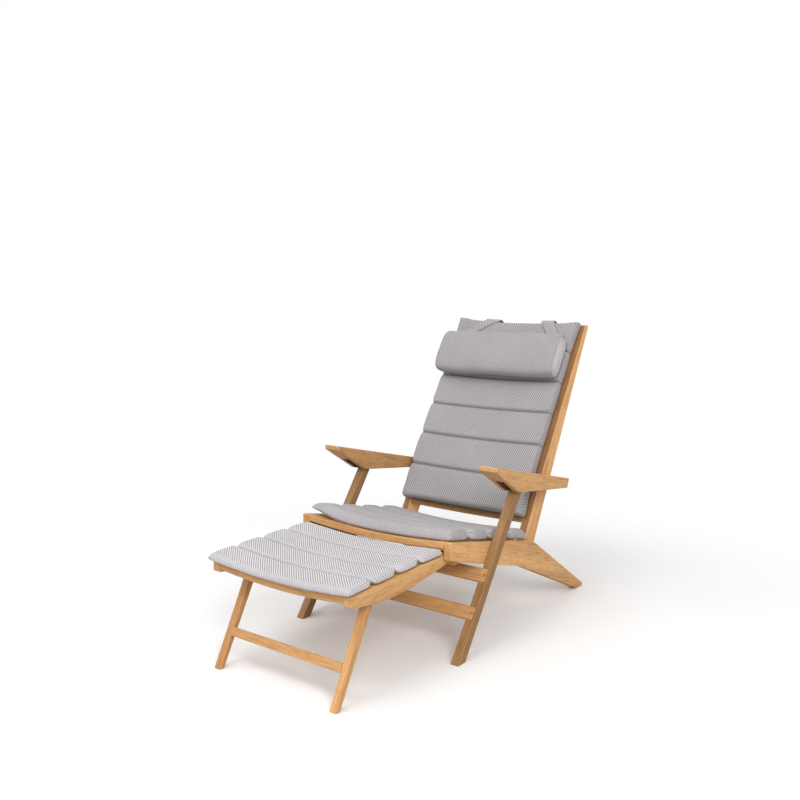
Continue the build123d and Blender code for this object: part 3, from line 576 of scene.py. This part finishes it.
@dataclass
class Quilt:
    """One quilted cushion's sizes, and the shape of its surfaces in flat cushion space."""
    half_width: float
    length: float
    panels: int
    crown: float            # thickness in the middle of a panel
    channel: float          # thickness where a channel is sewn
    draw_in: float          # how far a channel draws the sides in
    seed: float             # place in the noise
    limp: float = 1.0       # strength of the ripples
    edge: float = 0.008     # rounding of the sides
    flap: float = 0.0       # height of the curled front corner at -u
    stitch: float = 0.0045  # depth of the stitched line in a channel
    far_share: float = 1.0  # share of draw_in at -u
    corner: float = 0.0     # rounding of the front corners, seen from above

    @property
    def pitch(self):
        return self.length / self.panels

    def to_seam(self, v):
        """Distance to the nearest sewn channel or end seam, and whether it is an end."""
        nearest = min(self.panels, max(0, round(v / self.pitch)))
        return abs(v - nearest * self.pitch), nearest in (0, self.panels)

    def side_reach(self, v, side):
        """Half width at v on one side: drawn in at each channel, rounded at the front corners."""
        away, end = self.to_seam(v)
        pull = 0.0 if end else exp(-(away / (self.pitch * PULL_LENGTH)) ** 2)
        share = 1.0 if side > 0 else self.far_share
        turned = 0.0
        if v < self.corner:
            turned = self.corner * (1 - sqrt(1 - (1 - v / self.corner) ** 2))
        return self.half_width - self.draw_in * pull * share - turned

    def nip(self, v, to_side, side):
        """How far the two cloths come together where a channel runs out at a side."""
        away, end = self.to_seam(v)
        if end:
            return 0.0
        share = (1.0 if side > 0 else self.far_share) * min(1.0, self.draw_in / FULL_NIP)
        share *= exp(-(away / (self.pitch * NIP_LENGTH)) ** 2)
        return share * exp(-(to_side / NIP_DEPTH) ** 2)

    def height(self, u, v):
        """Height of the upper surface over the underside, away from the rounded sides."""
        away, end = self.to_seam(v)
        share = min(1.0, away / (self.pitch / 2))
        rise = (self.crown - self.channel) * (1 - (1 - share) ** 2.6) ** 0.62
        ripple = lumps(u * 9.0, v * 9.0, self.seed) * 0.0022
        ripple += lumps(u * 26.0, v * 15.0, self.seed + 5) * 0.0011
        pucker = exp(-(away / PUCKER_LENGTH) ** 2) * PUCKER
        pucker *= lumps(u * 78.0, v * 8.0, self.seed + 9)
        stitch = 0.0 if end else exp(-(away / STITCH_LENGTH) ** 2) * self.stitch
        return self.channel + rise + ripple * share * self.limp + pucker - stitch

    def raised(self, u, v):
        """Share of the flap's height that the curled corner has at a point."""
        if not self.flap:
            return 0.0
        across, along = FLAP_SIZE
        return exp(-((self.half_width + u) / across) ** 2) * exp(-(v / along) ** 2)


def quilt_mesh(quilt, columns, rows):
    """Points and faces of a closed quilt in flat space: an upper and a lower grid that share
    their border."""
    edge = quilt.edge

    def v_at(row):
        # Rows crowd together at the seams
        place = row * quilt.panels / rows
        panel = min(quilt.panels - 1, int(place))
        t = place - panel
        return quilt.pitch * (panel + t - CROWDING * sin(2 * pi * t) / (2 * pi))

    def inward(column):
        # Distance in from the nearer side, as a length on the rounded edge, and a share of the
        # flat part past it
        near = min(column, columns - column)
        if near <= EDGE_STEPS:
            return edge * (1 - cos(pi / 2 * near / EDGE_STEPS)), 0.0
        return edge, (near - EDGE_STEPS) / (columns / 2 - EDGE_STEPS)

    def rounded(away, reach):
        return sqrt(max(0.0, 1 - (1 - min(1.0, away / reach)) ** 2))

    points, faces, index = [], [], {}
    for side in (1, -1):
        for row in range(rows + 1):
            for column in range(columns + 1):
                border = column in (0, columns) or row in (0, rows)
                if border and side == -1:
                    index[(side, row, column)] = index[(1, row, column)]
                    continue
                v = v_at(row)
                hand = 1 if column > columns / 2 else -1
                reach = quilt.side_reach(v, hand)
                fixed, share = inward(column)
                u = (reach - fixed) * (1 - share) * hand
                to_side = reach - abs(u)
                to_end = min(v, quilt.length - v)
                nip = quilt.nip(v, to_side, hand)
                seam = quilt.channel * (SIDE_SEAM + SEAM_LIFT * nip)
                if side == 1:
                    rounding = rounded(to_side, edge) * rounded(to_end, edge)
                    w = seam + (quilt.height(u, v) - seam) * rounding * (1 - 0.5 * nip)
                else:
                    rounding = (rounded(to_side, edge * UNDER_ROUNDING)
                                * rounded(to_end, edge * UNDER_END))
                    w = seam * max((1 - rounding) ** 1.2, 0.9 * nip)
                raised = quilt.raised(u, v)
                index[(side, row, column)] = len(points)
                points.append((u, v, w * (1 - FLATTENED * raised) + quilt.flap * raised))
    windings = ((1, ((0, 0), (0, 1), (1, 1), (1, 0))), (-1, ((0, 0), (1, 0), (1, 1), (0, 1))))
    for row in range(rows):
        for column in range(columns):
            for side, corners in windings:
                faces.append([index[(side, row + r, column + c)] for r, c in corners])
    return points, faces


def dish_place(u, w, half, dish):
    """Where a point u across and w above a dished board's face lies, as X and height."""
    radius = (half * half + dish * dish) / (2 * dish)
    angle = asin(max(-0.999, min(0.999, u / radius)))
    centre = radius - dish
    return (radius - w) * sin(angle), centre - (radius - w) * cos(angle)


def slope_placer(front_y, front_z, slope, dish):
    """Places flat points on dished boards that slope along Y."""
    def place(u, v, w):
        x, h = dish_place(u, w + OFF_WOOD, *dish)
        return (x, front_y + v * cos(slope) - h * sin(slope),
                front_z + v * sin(slope) + h * cos(slope))
    return place


def back_placer():
    """Places flat points on the back, bending where the uprights bend; and the back's length."""
    low_lean = radians(30.1)
    half_depth = 0.035  # of the uprights
    cushion_foot_z = 0.311
    bend_reach = 0.06   # along the back, on each side of the bend
    below_top = 0.002
    low_y = BACK_PIVOT[0] - half_depth * sin(low_lean)
    low_z = BACK_PIVOT[1] - half_depth * cos(low_lean)
    front = (low_y - half_depth * cos(low_lean), low_z + half_depth * sin(low_lean))
    share = (cushion_foot_z - front[1]) / (BACK_BEND[1] - front[1])
    start = (front[0] + share * (BACK_BEND[0] - front[0]), cushion_foot_z)
    low_part = hypot(BACK_BEND[0] - start[0], BACK_BEND[1] - start[1])
    high_part = hypot(BACK_TOP[0] - BACK_BEND[0], BACK_TOP[1] - BACK_BEND[1])
    low_angle = tilt(start, BACK_BEND)

    def place(u, v, w):
        x, h = dish_place(u, w + OFF_WOOD, *BACK_DISH)
        if v <= low_part:
            base = (start[0] + v * cos(low_angle), start[1] + v * sin(low_angle))
        else:
            base = (BACK_BEND[0] + (v - low_part) * cos(BACK_LEAN),
                    BACK_BEND[1] + (v - low_part) * sin(BACK_LEAN))
        turned = smooth((v - low_part + bend_reach) / (2 * bend_reach))
        angle = low_angle + (BACK_LEAN - low_angle) * turned
        return (x, base[0] - h * sin(angle), base[1] + h * cos(angle))
    return place, low_part + high_part - below_top


def cushion(name, quilt, place, material, body, columns, rows, cap):
    """Make, plump, stitch and lay one cushion, with that many columns and rows of faces."""
    points, faces = quilt_mesh(quilt, columns, rows)
    made = object_from(name, points, faces, material)
    flat = points
    plump(made, cap, pressure=3.0, frames=12, floor_at=0.0)
    flat = []
    for (u, v, w), first in zip(points_of(made.data), points):
        away, end = quilt.to_seam(first[1])
        if not end:
            w += (first[2] - w) * exp(-(away / HOLD) ** 2)
        top = quilt.crown + quilt.flap * quilt.raised(first[0], first[1])
        flat.append((u, v, min(w, top)))
    weave_map(made, flat)
    # Painted shade along the sewn channels, with their darker thread
    seam_shades = []
    for _, v, _ in points:
        away, end = quilt.to_seam(v)
        seam_shades.append(0.0 if end else exp(-(away / SHADE_LENGTH) ** 2))
    seam_shade_marks(made, seam_shades)
    set_points(made.data, [place(*point) for point in flat])
    subdivide(made)
    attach(made, body)
    return made


# Seat cushion, from its front edge's y to its rear edge's in the drawing
SEAT_CUSHION_FRONT, SEAT_CUSHION_REAR = 0.015, 0.460
SEAT_SET_BACK = 0.011   # of its front edge, from the planks' front
seat_length = (SEAT_CUSHION_REAR - SEAT_CUSHION_FRONT) / cos(SEAT_SLOPE)
seat_place = slope_placer(SEAT_CUSHION_FRONT + SHIFT,
                          PLANK_TOP[1] - SEAT_SET_BACK * tan(SEAT_SLOPE), -SEAT_SLOPE, SEAT_DISH)
seat_quilt = Quilt(0.267, seat_length, 4, crown=0.0345, channel=0.017, draw_in=0.014, seed=3.0,
                   edge=0.011, flap=0.021)
seat = cushion("seat_pad", seat_quilt, seat_place, SEAT_CLOTH, "seat_frame", columns=96, rows=88,
               cap=0.006)
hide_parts("seat_cushion")

# Footrest cushion
FOOT_CUSHION_FRONT, FOOT_CUSHION_REAR = -0.405, 0.0015
FOOT_AHEAD = 0.018      # of its front edge, over the front of the rails
FOOT_LIFT = 0.0003
foot_length = (FOOT_CUSHION_REAR - FOOT_CUSHION_FRONT) / cos(FOOTREST_SLOPE)
foot_place = slope_placer(FOOT_CUSHION_FRONT + SHIFT,
                          FOOTREST_FRONT[1] - FOOT_AHEAD * tan(FOOTREST_SLOPE) + FOOT_LIFT,
                          FOOTREST_SLOPE, FOOTREST_DISH)
foot_quilt = Quilt(0.257, foot_length, 4, crown=0.0215, channel=0.0155, draw_in=0.009, seed=8.0,
                   limp=0.6, edge=0.007, stitch=0.0032, far_share=0.3)
foot = cushion("footrest_pad", foot_quilt, foot_place, FOOT_CLOTH, "footrest", columns=96,
               rows=80, cap=0.004)
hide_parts("footrest_cushion")

# Back cushion
back_place, back_length = back_placer()
back_quilt = Quilt(0.2495, back_length, 6, crown=0.0355, channel=0.0295, draw_in=0.0015, seed=14.0,
                   edge=0.008, stitch=0.0034, far_share=0.6, corner=0.013)
BACK_ASIDE = 0.0085     # how far to -X the cushion sits
BACK_OVERHANG = 0.004   # how far it reaches past its length at the top, twice that at the curl
BACK_SAG = 0.009        # how far it hangs down past its foot
CURL_OUT = 0.011        # how far its top corner at -X curls forward
CURL_WIDTH = 0.11       # how far across the cushion that is felt
END_BAND = 0.06         # length over which its ends take these up


def back_laid(u, v, w):
    """The back cushion sits a little to one side, and its top corner there curls forward."""
    top = smooth((v - (back_length - END_BAND)) / END_BAND)
    curl = exp(-((back_quilt.half_width + u) / CURL_WIDTH) ** 2) * top
    low = 1 - smooth(v / END_BAND)
    return back_place(u - BACK_ASIDE, v + BACK_OVERHANG * (top + curl) - BACK_SAG * low,
                      w + CURL_OUT * curl)


back = cushion("back_pad", back_quilt, back_laid, BACK_CLOTH, "back", columns=84, rows=102,
               cap=0.006)
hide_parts("back_cushion")


# Head pillow: a long oval bolster with sewn-in end panels

PILLOW_HALF = 0.236     # half its length between the end seams
PILLOW_TALL = 0.0825    # half its size along the back
PILLOW_DEEP = 0.034     # half its thickness
PILLOW_Z = 0.8215       # height of its middle over the floor, before it is moved down
PILLOW_AHEAD = 0.035 + 0.0024 + PILLOW_DEEP  # past the cushion and the strap behind it
PILLOW_ASIDE = 0.011    # how far to -X it sits
PILLOW_DOWN = 0.001     # how far down the back it is moved
END_ROUND = 0.014       # rounding of the cloth into the end seams
END_DOME = 0.0105       # how far its end panels bulge
END_SUNK = 0.00105      # how far their borders lie inside the end seams
UP_BACK = Vector((0.0, cos(BACK_LEAN), sin(BACK_LEAN)))
OUT_OF_BACK = Vector((0.0, -sin(BACK_LEAN), cos(BACK_LEAN)))
# Spot on the uprights' front line right behind the pillow, and the pillow's centre
behind_z = PILLOW_Z - PILLOW_AHEAD * cos(BACK_LEAN)
behind_share = (behind_z - BACK_BEND[1]) / (BACK_TOP[1] - BACK_BEND[1])
BEHIND_PILLOW = Vector((0.0, BACK_BEND[0] + behind_share * (BACK_TOP[0] - BACK_BEND[0]), behind_z))
PILLOW_CENTRE = (BEHIND_PILLOW + OUT_OF_BACK * PILLOW_AHEAD + Vector((-PILLOW_ASIDE, 0, 0))
                 - UP_BACK * PILLOW_DOWN)


def on_back(base, x, up, out):
    """Point off a base: x across the chair, up along the back and out of it."""
    return base + Vector((x, 0, 0)) + UP_BACK * up + OUT_OF_BACK * out


def pillow_shape(angle, share):
    """Point of the pillow's section, along the back and out of it, at an angle round it and a
    share of its size: nearly a rounded rectangle, flatter where it leans on the back."""
    power = 0.64
    c, s = cos(angle), sin(angle)
    x = PILLOW_TALL * share * (abs(c) ** power) * (1 if c >= 0 else -1)
    deep = PILLOW_DEEP * share
    y = deep * (abs(s) ** power) * (1 if s >= 0 else -1)
    return x, max(y, -deep * 0.93)


def pillow_reach(u):
    """Section's share of its full size at u: drawn in towards the end seams."""
    away = PILLOW_HALF - abs(u)
    if away < END_ROUND:
        return 0.89 + 0.085 * sqrt(max(0.0, 1 - (1 - away / END_ROUND) ** 2))
    return 0.975 + 0.025 * smooth((away - END_ROUND) / 0.07)


def make_pillow():
    around, along, rings = 64, 104, 7
    points, faces, flat = [], [], []
    angles = [2 * pi * step / around - pi / 2 for step in range(around)]
    # Length round the section, from the line that leans on the back
    section = [Vector(pillow_shape(angle, 1.0)) for angle in angles]
    girth = [0.0]
    for step in range(1, around):
        girth.append(girth[-1] + (section[step] - section[step - 1]).length)
    for row in range(along + 1):
        raw = 2 * row / along - 1
        u = PILLOW_HALF * (0.75 * raw + 0.25 * sin(raw * pi / 2))
        tuck = exp(-((PILLOW_HALF - abs(u)) / 0.02) ** 2)
        for angle, length in zip(angles, girth):
            x, y = pillow_shape(angle, pillow_reach(u))
            # Soft wrinkles all over, and tucks at the end seams
            grow = 1 + lumps(u * 11, cos(angle) * 2.0, sin(angle) * 2.0 + 4) * 0.032
            grow += tuck * lumps(u * 4, cos(angle) * 9, sin(angle) * 9) * 0.036
            points.append(tuple(on_back(PILLOW_CENTRE, u, x * grow, y * grow)))
            flat.append((u, length, 0.0))
    for row in range(along):
        for step in range(around):
            a = row * around + step
            b = row * around + (step + 1) % around
            faces.append([a, b, b + around, a + around])
    # End panels: slightly domed, on rings that shrink to the middle
    for side, first in ((-1, 0), (1, along * around)):
        last = [first + step for step in range(around)]
        for ring in range(1, rings + 1):
            share = 1 - ring / (rings + 0.6)
            bulge = END_DOME * (1 - share ** 2.4) - END_SUNK
            now = [len(points) + step for step in range(around)]
            for angle in angles:
                x, y = pillow_shape(angle, pillow_reach(PILLOW_HALF) * share)
                points.append(tuple(on_back(PILLOW_CENTRE, side * (PILLOW_HALF + bulge), x, y)))
                flat.append((x, y, 0.0))
            for step in range(around):
                following = (step + 1) % around
                quad = [last[step], last[following], now[following], now[step]]
                faces.append(quad if side > 0 else quad[::-1])
            last = now
        faces.append(last if side > 0 else last[::-1])
    made = object_from("pillow", points, faces, PILLOW_CLOTH)
    made.data.materials.append(PILLOW_END_LIT_CLOTH)
    for polygon in list(made.data.polygons)[along * around:]:
        polygon.material_index = 1
    weave_map(made, flat)
    face_outward(made)
    plump(made, cap=0.003, pressure=1.5, frames=8)
    subdivide(made)
    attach(made, "back")
    return made


pillow = make_pillow()
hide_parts("head_pillow")


# Corded seams round the pillow's end panels

def piping(name, ring, radius, sides=8):
    """Thin round cord along a closed ring of points."""
    points, faces = [], []
    count = len(ring)
    side = None
    for number, here in enumerate(ring):
        forward = (ring[(number + 1) % count] - ring[number - 1]).normalized()
        if side is None:
            side = forward.orthogonal().normalized()
        else:
            side = (side - forward * side.dot(forward)).normalized()
        up = forward.cross(side)
        for step in range(sides):
            angle = 2 * pi * step / sides
            points.append(tuple(here + side * (cos(angle) * radius) + up * (sin(angle) * radius)))
    for number in range(count):
        here, ahead = number * sides, (number + 1) % count * sides
        for step in range(sides):
            following = (step + 1) % sides
            faces.append([here + step, here + following, ahead + following, ahead + step])
    made = object_from(name, points, faces, SEAM_THREAD)
    weave_map(made, points)
    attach(made, "back")
    return made


for side, label in ((1, "left"), (-1, "right")):
    ring = []
    for step in range(72):
        x, y = pillow_shape(2 * pi * step / 72, pillow_reach(PILLOW_HALF) * 1.012)
        ring.append(on_back(PILLOW_CENTRE, side * (PILLOW_HALF - 0.0005), x, y))
    cord = piping(f"pillow_piping_{label}", ring, radius=0.0016)


# Straps from behind the pillow over the top of the back. Their lines are (across, up the back,
# out of it), from the spot on the uprights behind the pillow.

STRAP_THICK = 0.0026
STRAP_TUCKED = 0.024    # how far the strap reaches down behind the pillow
STRAP_BEND = 0.006      # radius of its bends over the top
STRAP_SHORT = 0.005     # how far before the top the bends start
STRAP_DROP = 0.130      # how far it hangs down behind the boards
STRAP_COLUMNS, STRAP_ROWS = 10, 22
STRAP_OVER = 0.0035     # how far over the uprights' tops it passes
STRAP_TOP = (BACK_TOP[1] - behind_z) / sin(BACK_LEAN) + STRAP_OVER
BEHIND_BOARDS = -0.001 - 0.010 - 0.012 - STRAP_THICK / 2  # past a gap, the dish and the board
BACK_SURFACE = BVHTree.FromPolygons([tuple(v.co) for v in back.data.vertices],
                                    [tuple(p.vertices) for p in back.data.polygons])


def cushion_top_at(x, y):
    """Height of the back cushion's face over the uprights' front line."""
    reach = 0.12
    spot = BACK_SURFACE.ray_cast(on_back(BEHIND_PILLOW, x, y, reach), -OUT_OF_BACK, reach)[0]
    return (spot - BEHIND_PILLOW).dot(OUT_OF_BACK) if spot else 0.0


def strap_lines(course, half):
    """Lines across the strap, from behind the pillow to its lower end behind the boards."""
    tuck = PILLOW_TALL - STRAP_TUCKED
    shares, middles = zip(*course)
    drape = []
    for n in range(STRAP_ROWS + 1):
        t = n / STRAP_ROWS
        y = tuck + (STRAP_TOP - tuck - STRAP_SHORT) * t
        middle = float(np.interp(t, shares, middles))
        drape.append([(middle + half * (2 * c / STRAP_COLUMNS - 1), y)
                      for c in range(STRAP_COLUMNS + 1)])
    # It follows the cushion's face, but spans the hollows
    lying = [[cushion_top_at(x, y) for x, y in line] for line in drape]
    for _ in range(6):
        lying = [[max(lying[n][c],
                      (lying[max(0, n - 1)][c] + lying[min(STRAP_ROWS, n + 1)][c]) / 2)
                  for c in range(STRAP_COLUMNS + 1)] for n in range(STRAP_ROWS + 1)]
    lines = [[(x, y, z + STRAP_THICK / 2) for (x, y), z in zip(line, heights)]
             for line, heights in zip(drape, lying)]
    last = [(x, z) for x, _, z in lines[-1]]
    start = STRAP_TOP - STRAP_SHORT
    crest = STRAP_TOP + STRAP_BEND - STRAP_SHORT
    quarter = [pi * n / 20 for n in range(1, 10)]
    for a in quarter:
        lines.append([(x, start + STRAP_BEND * sin(a), z - STRAP_BEND * (1 - cos(a)))
                      for x, z in last])
    for t in (n / 8 for n in range(1, 9)):
        lines.append([(x, crest, z - STRAP_BEND
                       + (BEHIND_BOARDS + STRAP_SHORT - z + STRAP_BEND) * t) for x, z in last])
    for a in quarter:
        lines.append([(x, crest - STRAP_BEND * (1 - cos(a)),
                       BEHIND_BOARDS + STRAP_SHORT * (1 - sin(a))) for x, _ in last])
    for t in (n / 14 for n in range(1, 15)):
        lines.append([(x, start - (STRAP_DROP - STRAP_SHORT) * t, BEHIND_BOARDS)
                      for x, _ in last])
    return [[Vector(point) for point in line] for line in lines]


def strap(name, course, half, replaced):
    """Flat webbing along a course of (share of its way up, x of its middle)."""
    lines = strap_lines(course, half)
    columns = STRAP_COLUMNS
    points, faces, flat = [], [], []
    travelled = 0.0
    for number, line in enumerate(lines):
        before = lines[max(0, number - 1)]
        after = lines[min(len(lines) - 1, number + 1)]
        travelled += (line[columns // 2] - before[columns // 2]).length
        for column, here in enumerate(line):
            side = line[min(columns, column + 1)] - line[max(0, column - 1)]
            normal = side.cross(after[column] - before[column]).normalized()
            across = 2 * column / columns - 1
            thinned = 1 - across ** 8 * 0.35
            sway = lumps(travelled * 20, here.x * 30, half * 100) * 0.0003
            for face in (-1, 1):
                place = here + normal * ((STRAP_THICK / 2) * thinned * face + sway)
                points.append(tuple(on_back(BEHIND_PILLOW, *place)))
                flat.append((half * across, travelled, 0.0))
    wide = (columns + 1) * 2
    for number in range(len(lines) - 1):
        a = number * wide
        b = a + wide
        for low in range(0, 2 * columns, 2):
            faces.append([a + low, a + low + 2, b + low + 2, b + low])
            faces.append([a + low + 1, b + low + 1, b + low + 3, a + low + 3])
        faces.append([a, b, b + 1, a + 1])
        faces.append([a + wide - 2, a + wide - 1, b + wide - 1, b + wide - 2])
    end = (len(lines) - 1) * wide
    for low in range(0, 2 * columns, 2):
        faces.append([low, low + 1, low + 3, low + 2])
        faces.append([end + low, end + low + 2, end + low + 3, end + low + 1])
    made = object_from(name, points, faces, STRAP_CLOTH)
    weave_map(made, flat)
    # Its borders are a little darker, as painted shade along its edges
    seam_shade_marks(made, [0.75 if abs(u) > half * 0.98 else 0.0 for u, _, _ in flat])
    face_outward(made)
    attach(made, "back")
    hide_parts(replaced)


strap("strap_left", [(0, 0.172), (0.45, 0.153), (1, 0.114)], 0.0265, "pillow_strap_left")
strap("strap_right", [(0, -0.216), (0.4, -0.198), (1, -0.109)], 0.0290, "pillow_strap_right")


# Floor, background and light

PLAIN_LIGHT = 0.62          # the world's strength and the floor's colour, as the object meets them
FLOOR_SEEN = 0.97           # the floor's colour to the camera
FLOOR_FADES = (0.85, 1.75)  # distance from the middle over which the floor turns clear


def mixed_shader(tree, share, first, second):
    made = node(tree, "ShaderNodeMixShader")
    for place, value in enumerate((share, first, second)):
        join(tree, value, made.inputs[place])
    return made.outputs[0]


def make_floor():
    """Pale floor that the camera sees white, and that runs out into the white background."""
    mesh = bpy.data.meshes.new("floor")
    mesh.from_pydata([(-14, -14, 0), (14, -14, 0), (14, 14, 0), (-14, 14, 0)], [], [(0, 1, 2, 3)])
    made = bpy.data.objects.new("floor", mesh)
    scene.collection.objects.link(made)
    material, tree, shader = new_material("pale_floor")
    shader.inputs["Roughness"].default_value = 0.85
    shader.inputs["Specular IOR Level"].default_value = 0.1
    seen = node(tree, "ShaderNodeLightPath").outputs["Is Camera Ray"]
    join(tree, mixed(tree, "MIX", seen, grey(PLAIN_LIGHT), grey(FLOOR_SEEN)),
         shader.inputs["Base Color"])
    reach = node(tree, "ShaderNodeVectorMath", operation="LENGTH")
    join(tree, node(tree, "ShaderNodeTexCoord").outputs["Object"], reach.inputs[0])
    fade = node(tree, "ShaderNodeMapRange", interpolation_type="SMOOTHSTEP",
                From_Min=FLOOR_FADES[0], From_Max=FLOOR_FADES[1])
    join(tree, reach.outputs["Value"], fade.inputs["Value"])
    gone = maths(tree, "MULTIPLY", fade.outputs[0], seen)
    clear = node(tree, "ShaderNodeBsdfTransparent")
    join(tree, mixed_shader(tree, gone, shader.outputs[0], clear.outputs[0]),
         tree.nodes["Material Output"].inputs[0])
    mesh.materials.append(material)
    return made


def make_world():
    """White world to the camera and in reflections, and a plain light on the object."""
    world = bpy.data.worlds.new("studio")
    scene.world = world
    world.use_nodes = True
    tree = world.node_tree
    tree.nodes.clear()
    rays = node(tree, "ShaderNodeLightPath")
    plain, white = (node(tree, "ShaderNodeBackground", Color=(1.0, 1.0, 1.0, 1), Strength=strength)
                    for strength in (PLAIN_LIGHT, 1.0))
    seen = maths(tree, "MAXIMUM", rays.outputs["Is Camera Ray"], rays.outputs["Is Glossy Ray"])
    seen = maths(tree, "MAXIMUM", seen, rays.outputs["Is Transmission Ray"])
    join(tree, mixed_shader(tree, seen, plain.outputs[0], white.outputs[0]),
         node(tree, "ShaderNodeOutputWorld").inputs[0])


def lamp(name, place, aim, size, power):
    """Large soft lamp that faces a point."""
    data = bpy.data.lights.new(name, "AREA")
    data.shape = "DISK"
    data.size = size
    data.energy = power
    made = bpy.data.objects.new(name, data)
    made.location = place
    made.rotation_euler = (Vector(aim) - Vector(place)).to_track_quat("-Z", "Y").to_euler()
    scene.collection.objects.link(made)


floor = make_floor()
make_world()
lamp("key", (3.9, -3.2, 3.2), aim=(0, 0, 0.4), size=2.8, power=170)
lamp("fill", (-4.6, -3.4, 3.2), aim=(0, 0, 0.4), size=4.0, power=75)
lamp("top", (-0.4, -2.2, 4.6), aim=(0, -0.3, 0.3), size=2.9, power=62)

# Camera, as fitted to the photograph
camera_data = bpy.data.cameras.new("camera")
camera_data.lens = 38.90
camera_data.sensor_width = 36.0
camera = bpy.data.objects.new("camera", camera_data)
camera.location = (1.56998, -2.16996, 1.01466)
camera.rotation_euler = (radians(90 - 6.695), 0, radians(37.239))
scene.collection.objects.link(camera)
scene.camera = camera
scene.view_settings.view_transform = "Standard"

bpy.context.view_layer.update()
